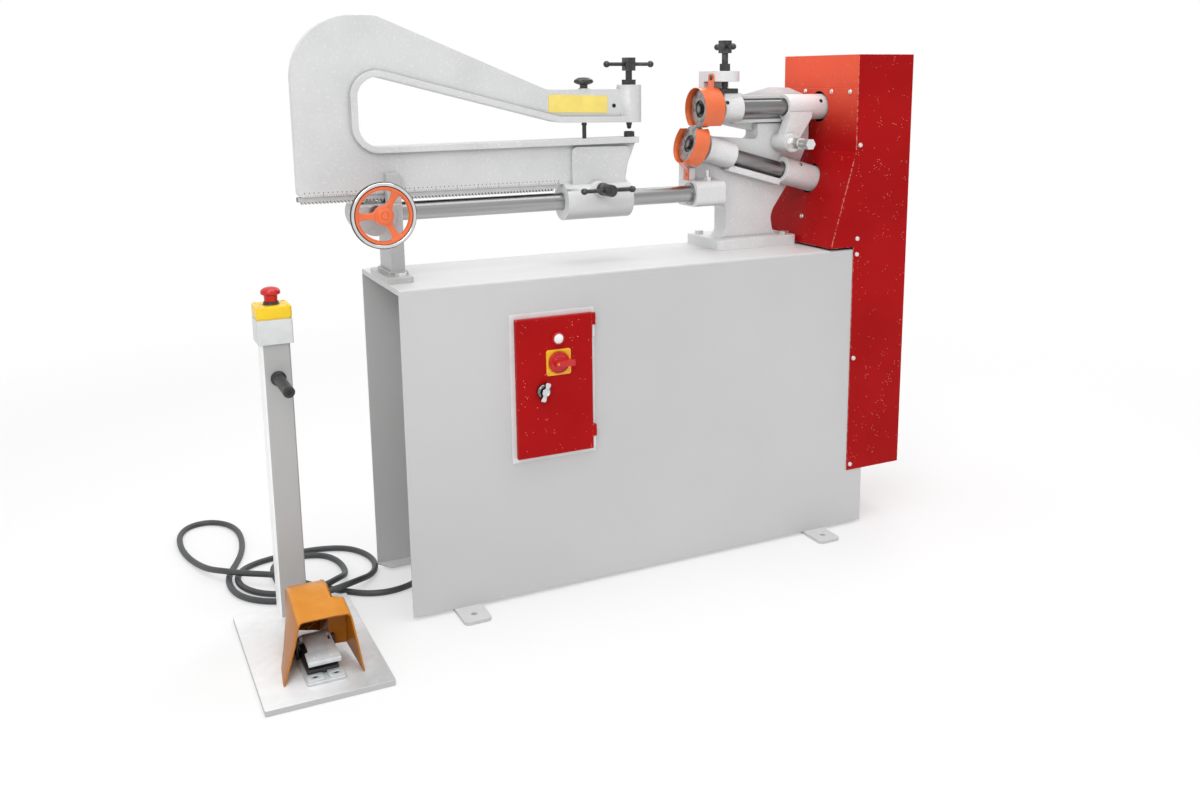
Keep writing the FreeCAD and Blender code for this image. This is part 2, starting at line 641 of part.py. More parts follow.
half_side = "switch_side/2"
plate = slab("XZ_Plane", [
    ("lamp_x - " + half_side, SWITCH_Z + " - " + half_side, "5"),
    ("lamp_x + " + half_side, SWITCH_Z + " - " + half_side, "5"),
    ("lamp_x + " + half_side, SWITCH_Z + " + " + half_side, "5"),
    ("lamp_x - " + half_side, SWITCH_Z + " + " + half_side, "5"),
], DOOR_FACE + " - switch_plate_t", DOOR_FACE)
neck = rod("switch_neck", "door_skin + 2", ("lamp_x", DOOR_FACE + " - 1", SWITCH_Z), "y")
body = block(("lamp_x - 23", DOOR_FACE + " + door_skin", SWITCH_Z + " - 23"), ("46", "36", "46"))
keep("main_switch", fused(plate, neck, body))

KNOB_BACK = DOOR_FACE + " - switch_plate_t - 0.3"
dial = turned([("0", "0"), ("knob_r", "0"), ("knob_r", "5"), ("knob_r - 3", "8"), ("0", "8")],
              ("lamp_x", KNOB_BACK, SWITCH_Z), "-y")
lever = softened(block(("lamp_x - 13", KNOB_BACK + " - 22", SWITCH_Z + " - 8"), ("knob_r + 22", "15", "16")),
                 "3", lambda middle: middle.y < num(KNOB_BACK) - 15)
keep("switch_knob", fused(dial, lever))

collar = turned([("0", "-24"), ("latch_r - 5", "-24"), ("latch_r - 5", "0.3"), ("latch_r", "0.3"),
                 ("latch_r", "6"), ("latch_r - 3", "9"), ("9", "9"), ("9", "17"), ("0", "18")],
                ("latch_x", DOOR_FACE, LATCH_Z), "-y")
wing = slab("XZ_Plane", [
    ("latch_x - 14", LATCH_Z + " - 22", "4"), ("latch_x - 2", LATCH_Z + " - 25", "4"), ("latch_x + 8", LATCH_Z, "12"),
    ("latch_x + 14", LATCH_Z + " + 22", "4"), ("latch_x + 2", LATCH_Z + " + 25", "4"), ("latch_x - 8", LATCH_Z, "12"),
], DOOR_FACE + " - 19", DOOR_FACE + " - 9")
cam = block(("latch_x - 8", DOOR_FACE + " + 20", LATCH_Z + " - 40"), ("16", "3", "46"))
keep("door_latch", fused(collar, wing, cam))

# Belt cover: a folded box that laps over the cabinet's right end, and the leaning panel on its left.

COVER_FRONT = FRONT + " - cover_sheet"
COVER_BACK = BACK + " + cover_sheet"
shell = slab("XZ_Plane", [
    ("cover_left", "cover_low"), ("cover_right", "cover_low"), ("cover_right", "cover_high"),
    ("cover_left", "cover_high"), ("cover_left", "lean_high"), ("lean_left", "lean_low"),
    ("cover_left", "lean_low"),
], COVER_FRONT, COVER_BACK)
room = slab("XZ_Plane", [
    ("lean_left - 20", "cover_low + cover_sheet"), ("cover_right - cover_sheet", "cover_low + cover_sheet"),
    ("cover_right - cover_sheet", "cover_high - cover_sheet"), ("cover_left + cover_sheet", "cover_high - cover_sheet"),
    ("cover_left + cover_sheet", "panel_top - panel_lap"), ("lean_left - 20", "panel_top - panel_lap"),
], FRONT, BACK)
sill = block(("cover_left - 1", FRONT, "cover_low - 1"), (CAB_RIGHT + " - cover_left + 1", "cab_dep", "cover_sheet + 2"))
keep("belt_cover", less(shell, room, sill, rod("hole_r", "20", ("cover_left - 9", "0", "up_z"), "x")))

LEAN = "(cover_left - lean_left)/(lean_high - lean_low)"
panel = slab("XZ_Plane", [
    ("cover_left", "panel_top"), ("cover_left - cover_sheet", "panel_top"),
    ("cover_left - cover_sheet", "lean_high"), ("lean_left - cover_sheet", "lean_low"),
    ("lean_left", "lean_low"), ("cover_left", "lean_high"),
], COVER_FRONT, COVER_BACK)
LIP_TOP = "panel_top - panel_lap - 8"
LIP_FOOT = "lean_low + 14"
lip_outline = [
    ("cover_left - cover_sheet/2", LIP_TOP), ("cover_left - cover_sheet/2", "lean_high"),
    ("cover_left - cover_sheet/2 - (lean_high - (%s))*%s" % (LIP_FOOT, LEAN), LIP_FOOT),
    ("cover_left + panel_lip - (lean_high - (%s))*%s" % (LIP_FOOT, LEAN), LIP_FOOT),
    ("cover_left + panel_lip", "lean_high"), ("cover_left + panel_lip", LIP_TOP),
]
lips = [slab("XZ_Plane", lip_outline, FRONT, FRONT + " + cover_sheet"),
        slab("XZ_Plane", lip_outline, BACK + " - cover_sheet", BACK)]
keep("shaft_cover_panel", less(
    fused(panel, *lips),
    rod("hole_r", "60", ("cover_left - 30", "0", "up_z"), "x"),
    rod("hole_r", "120", on_low("house_end - 60"), "low"),
))

TOP_ROW = [("cover_left - cover_sheet", y, "panel_top - 8") for y in ("-cab_dep/2 + 29", "-cab_dep/2 + 107", "cab_dep/2 - 100")]
SIDE_ROW = ["cover_low + 16", "cover_low + 310", "cab_top - 14", "lean_low + 21", "lean_high + 17"]
LEAN_SCREW_Z = "lean_low + 67"
LEAN_SCREW_X = "lean_left - cover_sheet + 67*" + LEAN


def cover_screw(at, along):
    return turned([("0", "0"), ("screw_head", "0"), ("screw_head*0.8", "2.8"), ("screw_head*0.35", "4"), ("0", "4")],
                  at, along)


heads = [cover_screw(at, "-x") for at in TOP_ROW]
heads.append(cover_screw((LEAN_SCREW_X, "-6", LEAN_SCREW_Z), "lean"))
for z in SIDE_ROW:
    heads.append(cover_screw(("cover_left + 11", COVER_FRONT, z), "-y"))
    heads.append(cover_screw(("cover_left + 11", COVER_BACK, z), "y"))
keep("cover_screws", fused(*heads))

# Drive: gear motor on the cabinet's end wall, belt over two equal pulleys.

MOTOR_FACE = CAB_RIGHT + " - sheet"
SHAFT_INNER = MOTOR_FACE + " - 15"
motor = turned([
    ("0", "0"), ("motor_r - 8", "0"), ("motor_r", "8"), ("motor_r", "48"), ("motor_r - 4", "48"),
    ("motor_r - 4", "motor_len - 120"), ("motor_r", "motor_len - 120"), ("motor_r", "motor_len - 12"),
    ("motor_r + 22", "motor_len - 12"), ("motor_r + 22", "motor_len"), ("0", "motor_len"),
], (MOTOR_FACE + " - motor_len", "0", "motor_z"), "x")
lid_box = block((MOTOR_FACE + " - motor_len + 90", "-48", "motor_z + motor_r - 14"), ("104", "96", "58"))
keep("gear_motor", less(
    fused(motor, lid_box),
    rod("drive_shaft + run_gap", "17", (SHAFT_INNER + " - 1", "0", "motor_z"), "x"),
))


def pulley(start, shaft_radius):
    """Corners of a pulley, its shaft's corners before them; heights run along the machine."""
    web_low = "pulley_x + pulley_w/2 - 7"
    web_high = "pulley_x + pulley_w/2 + 7"
    return [
        ("0", start), (shaft_radius, start), (shaft_radius, "pulley_x - 4"), (shaft_radius + " + 14", "pulley_x - 4"),
        (shaft_radius + " + 14", web_low), ("pulley_r - 10", web_low), ("pulley_r - 10", "pulley_x"),
        ("pulley_r", "pulley_x"), ("pulley_r", "pulley_x + pulley_w"), ("pulley_r - 10", "pulley_x + pulley_w"),
        ("pulley_r - 10", web_high), (shaft_radius + " + 14", web_high), (shaft_radius + " + 14", "pulley_x + pulley_w"),
        (shaft_radius, "pulley_x + pulley_w"),
    ]


keep("motor_pulley", turned(
    pulley(SHAFT_INNER, "drive_shaft") + [("drive_shaft", "pulley_x + pulley_w + 4"), ("0", "pulley_x + pulley_w + 4")],
    ("0", "0", "motor_z"), "x"))
keep("upper_pulley", turned(pulley("pulley_x - 4", "shaft_r")[2:], ("0", "0", "up_z"), "x"))


def loop(radius, extra):
    """A solid as wide as the belt, or a little wider, round both pulleys at a radius."""
    left = "pulley_x + (pulley_w - belt_w)/2 - " + extra
    wide = "belt_w + 2*" + extra
    return fused(
        rod(radius, wide, (left, "0", "motor_z"), "x"), rod(radius, wide, (left, "0", "up_z"), "x"),
        block((left, "-(%s)" % radius, "motor_z"), (wide, "2*(%s)" % radius, "up_z - motor_z")))


keep("drive_belt", less(loop("pulley_r + belt_gap + belt_t", "0"), loop("pulley_r + belt_gap", "1")))

# Cutter shafts, discs, nuts and bushes. The lower disc's cutting face is at that reach on its axis.

LOW_DISC = "(low_x - (disc_x - disc_gap - disc_r*sin(slope)))/cos(slope)"
UP_BACK = "disc_x + up_disc_t"
UP_SEAT = "disc_x + cup_deep"
LOW_SEAT = "(%s) + low_disc_t - cup_deep" % LOW_DISC

keep("upper_shaft", turned([
    ("0", UP_SEAT + " - washer_t - nut_t + 1"), ("spigot_r", UP_SEAT + " - washer_t - nut_t + 1"),
    ("spigot_r", UP_BACK), ("shoulder_r", UP_BACK), ("shoulder_r", UP_BACK + " + shoulder_t"),
    ("shaft_r", UP_BACK + " + shoulder_t"), ("shaft_r", "cover_right - 13"), ("0", "cover_right - 13"),
], ("0", "0", "up_z"), "x"))
keep("upper_disc", turned([
    ("spigot_r", UP_SEAT), ("cup_r", UP_SEAT), ("cup_r", "disc_x"), ("disc_r", "disc_x"),
    ("disc_r", UP_BACK), ("spigot_r", UP_BACK),
], ("0", "0", "up_z"), "x"))
keep("upper_disc_nut", less(
    fused(rod("washer_r", "washer_t", (UP_SEAT + " - washer_t", "0", "up_z"), "x"),
          hexagon("nut_r", "nut_t", (UP_SEAT + " - washer_t - nut_t", "0", "up_z"), "x")),
    rod("spigot_r", "washer_t + nut_t + 2", (UP_SEAT + " - washer_t - nut_t - 1", "0", "up_z"), "x")))

LOW_START = on_low("0")
keep("lower_shaft", turned([
    ("0", "house_end - 54"), ("shaft_r", "house_end - 54"), ("shaft_r", "(%s) - shoulder_t" % LOW_DISC),
    ("shoulder_r", "(%s) - shoulder_t" % LOW_DISC), ("shoulder_r", LOW_DISC), ("spigot_r", LOW_DISC),
    ("spigot_r", "(%s) + washer_t + nut_t - 1" % LOW_SEAT), ("0", "(%s) + washer_t + nut_t - 1" % LOW_SEAT),
], LOW_START, "low"))
keep("lower_disc", turned([
    ("spigot_r", LOW_DISC), ("disc_r", LOW_DISC), ("disc_r", "(%s) + low_disc_t" % LOW_DISC),
    ("cup_r", "(%s) + low_disc_t" % LOW_DISC), ("cup_r", LOW_SEAT), ("spigot_r", LOW_SEAT),
], LOW_START, "low"))
keep("lower_disc_nut", less(
    fused(rod("washer_r", "washer_t", on_low(LOW_SEAT), "low"),
          hexagon("nut_r", "nut_t", on_low("(%s) + washer_t" % LOW_SEAT), "low")),
    rod("spigot_r", "washer_t + nut_t + 2", on_low("(%s) - 1" % LOW_SEAT), "low")))


def bush(start, length, at, along):
    return less(rod("bush_r", length, at(start), along),
                rod("shaft_r + run_gap", "(%s) + 2" % length, at("(%s) - 1" % start), along))


def on_up(reach):
    return (reach, "0", "up_z")


keep("upper_bushes", fused(bush("arm_left", "arm_head", on_up, "x"),
                           bush("arm_house", "arm_right - arm_house", on_up, "x")))
keep("lower_bushes", fused(bush("sleeve_start", "sleeve_end - sleeve_start", on_low, "low"),
                           bush("house_end", "house_start - house_end", on_low, "low")))


def toothed(pitch_radius, teeth, tooth, add, ded, turn, height):
    """A closed toothed line: straight flanks at 20 degrees, one tooth centred at the turn."""
    flank = math.tan(math.radians(20))
    corners = []
    for index in range(teeth):
        middle = turn + 2 * math.pi * index / teeth
        for radius, half, side in (
                (pitch_radius - ded, tooth / 2 + ded * flank, -1), (pitch_radius + add, tooth / 2 - add * flank, -1),
                (pitch_radius + add, tooth / 2 - add * flank, 1), (pitch_radius - ded, tooth / 2 + ded * flank, 1)):
            angle = middle + side * half / pitch_radius
            corners.append(V(radius * math.cos(angle), radius * math.sin(angle), height))
    return Part.makePolygon(corners + corners[:1])


def bevel(half_turned, near_first):
    """A bevel gear on its own Z, the two end faces cut from one cone."""
    near = num("gear_near")
    wide = num("gear_w")
    teeth = int(num("gear_teeth"))
    turn = math.pi / teeth if half_turned else 0.0
    wires = []
    for far in (0, 1):
        scale = (near + wide * far) / near
        radius = scale * near * math.tan(math.radians(num("slope") / 2))
        height = wide * far if near_first else wide * (1 - far)
        wires.append(toothed(radius, teeth, num("gear_tooth") * scale, num("gear_add") * scale,
                             num("gear_ded") * scale, turn, height))
    return Part.makeLoft(wires if near_first else wires[::-1], True, True)


CONE_X = "low_x - (up_z - low_z)/tan(slope)"
LOW_GEAR = "(low_x - (%s))/cos(slope) - gear_near - gear_w" % CONE_X
big = place(made("UpperTeeth", bevel(False, True)), ("(%s) + gear_near" % CONE_X, "0", "up_z"), "x")
keep("upper_gear", less(big, rod("shaft_r", "gear_w + 2", ("(%s) + gear_near - 1" % CONE_X, "0", "up_z"), "x")))
big = place(made("LowerTeeth", bevel(True, False)), on_low(LOW_GEAR), "low")
keep("lower_gear", less(big, rod("shaft_r", "gear_w + 2", on_low("(%s) - 1" % LOW_GEAR), "low")))

# Guards round the two discs, each with a tab and a screw.

UP_GUARD = "disc_x - guard_front"
YOKE_LEFT = "yoke_x - yoke_r"
tube = less(rod("guard_r", "up_guard_len", (UP_GUARD, "0", "up_z"), "x"),
            rod("guard_r - guard_t", "up_guard_len + 2", (UP_GUARD + " - 1", "0", "up_z"), "x"),
            block((UP_GUARD + " - 1", "-guard_r - 1", "up_z - guard_r - 1"),
                  ("up_guard_len + 2", "2*guard_r + 2", "guard_r + 1 - 42")),
            block((YOKE_LEFT + " - 0.4", "rear_front - 3", "up_z - guard_r"), ("20", "20", "2*guard_r")))
tab = slab("YZ_Plane", [
    ("-10", "up_z + guard_r - 1"), ("20", "up_z + guard_r - 1.6"), ("16", "yoke_low + 20", "8"),
    ("-10", "yoke_low + 20", "8"),
], YOKE_LEFT + " - guard_t", YOKE_LEFT)
tab_screw = turned([("0", "-10"), ("3", "-10"), ("3", "0"), ("6", "0"), ("5", "2.5"), ("2", "3.5"), ("0", "3.5")],
                   (YOKE_LEFT + " - guard_t", "3", "yoke_low + 10"), "-x")
LOW_GUARD = "(%s) + low_disc_t + guard_front - low_guard_len" % LOW_DISC
low_tube = less(rod("guard_r", "low_guard_len", on_low(LOW_GUARD), "low"),
                rod("guard_r - guard_t", "low_guard_len + 2", on_low("(%s) - 1" % LOW_GUARD), "low"),
                block(("disc_x - 110", "-guard_r - 1", "up_z - 48.5"), ("190", "2*guard_r + 2", "80")))
LUG_X = "boss_left + 6"
low_tab = slab("XZ_Plane", [
    (LUG_X + " - 22", "low_z + 10"), (LUG_X + " - 19.5", "low_z + 9"), (LUG_X, "low_z - 10"), (LUG_X, "low_z - 38"),
    (LUG_X + " - 2", "low_z - 38"), (LUG_X + " - 2", "low_z - 11"),
], "16", "42")
low_screw = turned([("0", "-10"), ("3", "-10"), ("3", "0"), ("6", "0"), ("5", "2.5"), ("2", "3.5"), ("0", "3.5")],
                   (LUG_X + " - 2", "29", "low_z - 22"), "-x")
keep("disc_guards", fused(tube, tab, tab_screw, low_tube, low_tab, low_screw))

# Head casting: base, web with the lower bearing housings, rear arm and yoke above them.

BASE_TOP = "cab_top + base_t"
BASE_BACK = "base_front + base_dep"
base = slab("XY_Plane", [
    ("base_left", "base_front", "14"), ("base_left + base_len", "base_front", "14"),
    ("base_left + base_len", BASE_BACK, "14"), ("base_left", BASE_BACK, "14"),
], "cab_top", BASE_TOP, [(x, y, "6") for x, y in HEAD_BOLTS])
WEB_BACK = "web_front + web_t"
web = slab("XZ_Plane", [
    ("base_left + 2", BASE_TOP + " - 6"), ("base_left + 2", BASE_TOP), ("base_left + 44", BASE_TOP, "24"),
    ("base_left + 44", "bar_z - boss_half", "22"), ("boss_left + 12", "bar_z - boss_half"),
    ("boss_left + 12", "bar_z + 77", "8"), ("boss_left + 34", "bar_z + 77"), ("boss_left + 48", "pivot_z + 22", "10"),
    ("pivot_x - 62", "pivot_z + 8", "14"), ("pivot_x - 66", "up_z - 41"), ("pivot_x + 96", "up_z - 41"),
    ("pivot_x + 96", "pivot_z + 1", "30"), ("pivot_x + 70", "pivot_z - 54"), ("pivot_x + 30", "pivot_z - 114", "10"),
    ("pivot_x - 23", "cab_top + 82", "50"), ("pivot_x - 12", BASE_TOP, "24"),
    ("base_left + base_len - 6", BASE_TOP), ("base_left + base_len - 6", BASE_TOP + " - 6"),
], "web_front", WEB_BACK)
bar_boss = slab("YZ_Plane", [
    ("boss_front", "bar_z - boss_half", "18"), ("web_front + 40", "bar_z - boss_half"),
    ("web_front + 40", "bar_z + boss_half"), ("boss_front", "bar_z + boss_half", "18"),
], "boss_left", "boss_left + boss_len")
sleeve = rod("sleeve_r - 2", "sleeve_end - 13 - sleeve_start", on_low("sleeve_start"), "low")
sleeve_ring = rod("sleeve_r", "13", on_low("sleeve_end - 13"), "low")
housing = rod("sleeve_r", "house_start - house_end", on_low("house_end"), "low")
ledge_at = ("low_x - house_start*cos(slope) - 40*sin(slope)", "-14",
            "low_z + house_start*sin(slope) - 40*cos(slope)")
ledge = place(block(("0", "0", "0"), ("16", "web_front + 20", "sleeve_start - house_start + 4")), ledge_at, "low")
pivot_boss = rod("pivot_r", "web_front - lug_back + 1.7", ("pivot_x", "lug_back + 0.3", "pivot_z"), "y")
rear_arm = slab("XZ_Plane", [
    ("pivot_x - 66", "up_z - 59"), ("yoke_x - yoke_r", "up_z - 29"), ("yoke_x - yoke_r", "up_z + 31"),
    ("yoke_x + yoke_r", "up_z + 31"), ("pivot_x - 95", "up_z + 34"), ("pivot_x - 20", "up_z + 52", "25"),
    ("pivot_x + 45", "up_z + 49", "15"), ("pivot_x + 96", "up_z + 31"), ("pivot_x + 96", "up_z - 59"),
], "rear_front", "rear_front + rear_t")
yoke_leg = block((YOKE_LEFT, "rear_front", "up_z + 21"), ("2*yoke_r", "24", "yoke_low + yoke_t - up_z - 21"))
yoke = slab("XY_Plane", [
    (YOKE_LEFT, "rear_front + 24"), (YOKE_LEFT, "-yoke_r", "yoke_r - 0.1"), ("yoke_x + yoke_r", "-yoke_r", "yoke_r - 0.1"),
    ("yoke_x + yoke_r", "rear_front + 24"),
], "yoke_low", "yoke_low + yoke_t")
web_rib = slab("YZ_Plane", [
    (WEB_BACK + " - 2", BASE_TOP + " - 2"), (BASE_BACK + " - 12", BASE_TOP + " - 2"),
    (BASE_BACK + " - 12", BASE_TOP + " + 10"), (WEB_BACK + " - 2", "pivot_z - 60"),
], "pivot_x - 70", "pivot_x - 48")
guard_lug = block((LUG_X, "web_front - 8", "low_z - 43"), ("16", "34", "37"))
keep("head_casting", less(
    fused(base, web, bar_boss, sleeve, sleeve_ring, housing, ledge, pivot_boss, rear_arm, yoke_leg, yoke,
          web_rib, guard_lug),
    rod("bush_r", "sleeve_end - house_end + 60", on_low("house_end - 30"), "low"),
    rod("guide_r", "guide_right - boss_left + 1", ("boss_left - 1", "0", "bar_z"), "x"),
    rod("pivot_bolt", "web_front + 42 - lug_back", ("pivot_x", "lug_back - 1", "pivot_z"), "y"),
    rod("screw_r + run_gap", "yoke_t + 2", ("yoke_x", "0", "yoke_low - 1")),
    rod("5", "boss_half - guide_r", ("boss_left + 44", "-10", "bar_z + guide_r + 0.2")),
    rod("3", "10.5", (YOKE_LEFT + " - 0.5", "3", "yoke_low + 10"), "x"),
    rod("3", "10.5", (LUG_X + " - 0.5", "29", "low_z - 22"), "x"),
))


def bolt(x, y, seat, reach):
    """A hexagon screw from above: head on the seat, shank down by the reach."""
    return fused(hexagon("12.7", "9", (x, y, seat)), rod("6", "(%s) + 1" % reach, (x, y, "%s - (%s)" % (seat, reach))))


bolts = [bolt(x, y, BASE_TOP, "base_t + top_t") for x, y in HEAD_BOLTS]
bolts += [bolt(x, y, "cab_top + foot_plate_t", "foot_plate_t + top_t") for x, y in FOOT_BOLTS]
pivot_shank = rod("pivot_bolt", "pivot_out + web_front + 38", ("pivot_x", "-pivot_out", "pivot_z"), "y")
pivot_head = hexagon("14.5", "14", ("pivot_x", "-pivot_out - 14", "pivot_z"), "y")
pivot_washer = rod("22", "4", ("pivot_x", "lug_front - 18.3", "pivot_z"), "y")
pivot_nut = hexagon("15.6", "33", ("pivot_x", "lug_front - 50", "pivot_z"), "y")
pivot_sleeve = rod("12.5", "pivot_out + lug_front - 48", ("pivot_x", "-pivot_out - 1", "pivot_z"), "y")
lock_nut = less(hexagon("15", "18", ("yoke_x", "0", "yoke_low + yoke_t")),
                rod("screw_r + run_gap", "20", ("yoke_x", "0", "yoke_low + yoke_t - 1")))
bar_stud = rod("5", "boss_half - guide_r + 26", ("boss_left + 44", "-10", "bar_z + guide_r + 0.2"))
bar_nut = hexagon("10", "10", ("boss_left + 44", "-10", "bar_z + boss_half"))
keep("frame_bolts", fused(pivot_shank, pivot_head, pivot_washer, pivot_nut, pivot_sleeve, lock_nut, bar_stud, bar_nut,
                          *bolts))

# Upper arm with its keeper plate; it swings on the pivot bolt.

arm_head = rod("arm_head_r", "arm_head", ("arm_left", "0", "up_z"), "x")
arm_house = rod("arm_house_r", "arm_right - arm_house", ("arm_house", "0", "up_z"), "x")
beam = block(("arm_left + 24", "beam_front", "beam_low"), ("arm_house - arm_left + 6", "beam_t", "beam_tall"))
beam_edges = [block(("arm_left + 50", "beam_front - 10", z), ("arm_house - arm_left - 40", "14", "9"))
              for z in ("beam_low", "beam_low + beam_tall - 9")]
arm_lug = slab("XZ_Plane", [
    ("pivot_x - 24", "pivot_z"), ("pivot_x + 24", "pivot_z"), ("pivot_x + 68", "up_z - 26", "20"),
    ("pivot_x + 68", "up_z - 12"), ("pivot_x - 2", "up_z - 12"), ("pivot_x - 2", "up_z - 30", "20"),
], "lug_front", "lug_back")
arm_boss = rod("pivot_r", "lug_back - lug_front + 14", ("pivot_x", "lug_front - 14", "pivot_z"), "y")
arm_pad = block(("arm_left + 2", "-22", "up_z"), ("50", "44", "keeper_z - up_z"))
keep("upper_arm", less(
    fused(arm_head, arm_house, beam, arm_lug, arm_boss, arm_pad, *beam_edges),
    rod("bush_r", "arm_right - arm_left + 2", ("arm_left - 1", "0", "up_z"), "x"),
    rod("pivot_bolt + run_gap", "lug_back - lug_front + 20", ("pivot_x", "lug_front - 16", "pivot_z"), "y"),
))

KEEP_LEFT = "yoke_x - keeper_side/2"
keep("keeper_plate", less(
    softened(block((KEEP_LEFT, "-keeper_side/2 + 1", "keeper_z"), ("keeper_side", "keeper_side - 2", "keeper_t")),
             "2", lambda middle: middle.z > num("keeper_z + keeper_t") - 0.1),
    block(("yoke_x - pad_r - 5", "-pad_r - 0.6", "keeper_z + 2.7"), ("2*pad_r + 10", "2*pad_r + 1.2", "pad_t + 1.1")),
    block(("yoke_x - pad_neck - 4.5", "-pad_neck - 0.5", "keeper_z + 3"), ("2*pad_neck + 9", "2*pad_neck + 1", "keeper_t")),
))

PAD_Z = "keeper_z + 3.2"
PAD_TOP = "keeper_z + keeper_t + 3"
keep("thrust_pad", less(
    fused(rod("pad_r", "pad_t", ("yoke_x", "0", PAD_Z)), rod("pad_neck", PAD_TOP + " - (%s)" % PAD_Z, ("yoke_x", "0", PAD_Z))),
    rod("4 + run_gap", "20", ("yoke_x", "0", PAD_Z + " + 1")),
))
HEAD_BAR_Z = "screw_head_z + head_tall/2"
keep("arm_screw", less(
    fused(rod("4", "12", ("yoke_x", "0", PAD_TOP + " - 10")),
          rod("screw_r", "screw_head_z - (%s) + 0.7" % PAD_TOP, ("yoke_x", "0", PAD_TOP + " + 0.3")),
          softened(block(("yoke_x - head_side/2", "-head_side/2", "screw_head_z"), ("head_side", "head_side", "head_tall")),
                   "5", lambda middle: abs(middle.z - num(HEAD_BAR_Z)) < 0.1 and abs(middle.y) > num("head_side") / 2 - 0.1)),
    rod("bar_r + run_gap", "head_side + 2", ("yoke_x", "-head_side/2 - 1", HEAD_BAR_Z), "y"),
))


def tommy_bar(long, x, y, z, along):
    """A bar with a ball at each end, its middle at the point."""
    half = "(%s/2 - ball_r)" % long
    start = (x + " - " + half, y, z) if along == "x" else (x, y + " - " + half, z)
    finish = (x + " + " + half, y, z) if along == "x" else (x, y + " + " + half, z)
    return fused(rod("bar_r", "2*" + half, start, along),
                 ball("ball_r", start, along), ball("ball_r", finish, along))


keep("arm_screw_bar", tommy_bar("arm_bar_len", "yoke_x", "0", HEAD_BAR_Z, "y"))

# Guide bar and its left bracket, with the pinion's housing and the fork that guides the frame.

keep("guide_bar", fused(
    rod("guide_r", "guide_right - guide_left", ("guide_left", "0", "bar_z"), "x"),
    rod("ring_r", "ring_t", ("boss_left - ring_t", "0", "bar_z"), "x"),
))

PLATE_TOP = "cab_top + foot_plate_t"
PINION_Z = "rack_pitch - module*pinion_teeth/2"
foot_plate = slab("XY_Plane", [
    ("post_left - 17", "-foot_plate_half", "10"), ("post_left - 17 + foot_plate_w", "-foot_plate_half", "10"),
    ("post_left - 17 + foot_plate_w", "foot_plate_half", "10"), ("post_left - 17", "foot_plate_half", "10"),
], "cab_top", PLATE_TOP, [(x, y, "6") for x, y in FOOT_BOLTS])
flare = block(("post_left - 6", "-post_half - 3", PLATE_TOP + " - 1"), ("post_w + 12", "2*post_half + 6", "9"))
column = block(("post_left", "-post_half", PLATE_TOP + " - 1"), ("post_w", "2*post_half", "post_top - (%s) + 1" % PLATE_TOP))
forks = [block(("post_left + 1", y, "post_top - 40"), ("post_w", "fork_t", "fork_top - post_top + 40"))
         for y in ("fork_half", "-fork_half - fork_t")]
gear_case = rod("gear_case_r", "gear_case_back - gear_case_front", ("pinion_x", "gear_case_front", "bar_z"), "y")
case_lid = block(("pinion_x - 60", "gear_case_front - 1", "post_top"),
                 ("post_left - pinion_x + 100", "gear_case_back - gear_case_front + 2", "40"))
keep("bar_bracket", less(
    fused(foot_plate, flare, column, less(gear_case, case_lid), *forks),
    rod("guide_r", "post_w + 10", ("guide_left", "0", "bar_z"), "x"),
    rod("module*pinion_teeth/2 + 4.5", "28", ("pinion_x", "-14", PINION_Z), "y"),
    block(("pinion_x - 22", "-14", PINION_Z), ("44", "28", "60")),
    rod("pinion_shaft + run_gap", "gear_case_back - gear_case_front + 2", ("pinion_x", "gear_case_front - 1", PINION_Z), "y"),
))

# Rack under the frame, pinion and handwheel.


def rack_shape():
    step = math.pi * num("module")
    flank = math.tan(math.radians(20))
    half = (step / 2 - num("mesh_gap")) / 2
    tip = half - num("module") * flank
    root = half + 1.25 * num("module") * flank
    low = num("rack_pitch") - num("module")
    high = num("rack_pitch") + 1.25 * num("module")
    left = num("rack_left")
    right = left + num("rack_len")
    front = -num("rack_half")
    top = num("rack_top")
    line = [(left, top), (left, high)]
    index = int((left - num("pinion_x")) / step)
    while True:
        middle = num("pinion_x") + (index + 0.5) * step
        if middle + root > right - 0.2:
            break
        if middle - root > left + 0.2:
            line += [(middle - root, high), (middle - tip, low), (middle + tip, low), (middle + root, high)]
        index += 1
    line += [(right, high), (right, top)]
    corners = [V(x, front, z) for x, z in line]
    return Part.Face(Part.makePolygon(corners + corners[:1])).extrude(V(0, -2 * front, 0))


keep("rack", made("RackTeeth", rack_shape()))

TEETH_LONG = 24
wheel_line = toothed(num("module*pinion_teeth/2"), int(num("pinion_teeth")),
                     math.pi * num("module") / 2 - num("mesh_gap"), num("module"), 1.25 * num("module"),
                     -math.pi / 2, 0)
wheel = made("PinionTeeth", Part.Face(wheel_line).extrude(V(0, 0, TEETH_LONG)))
place(wheel, ("pinion_x", str(-TEETH_LONG / 2), PINION_Z), "y")
pinion_rod = rod("pinion_shaft", "-hand_y + 10 + gear_case_back + 3", ("pinion_x", "hand_y - 10", PINION_Z), "y")
pinion_collar = rod("pinion_shaft + 8", "12", ("pinion_x", "gear_case_front - 12.4", PINION_Z), "y")
keep("pinion", fused(wheel, pinion_rod, pinion_collar))

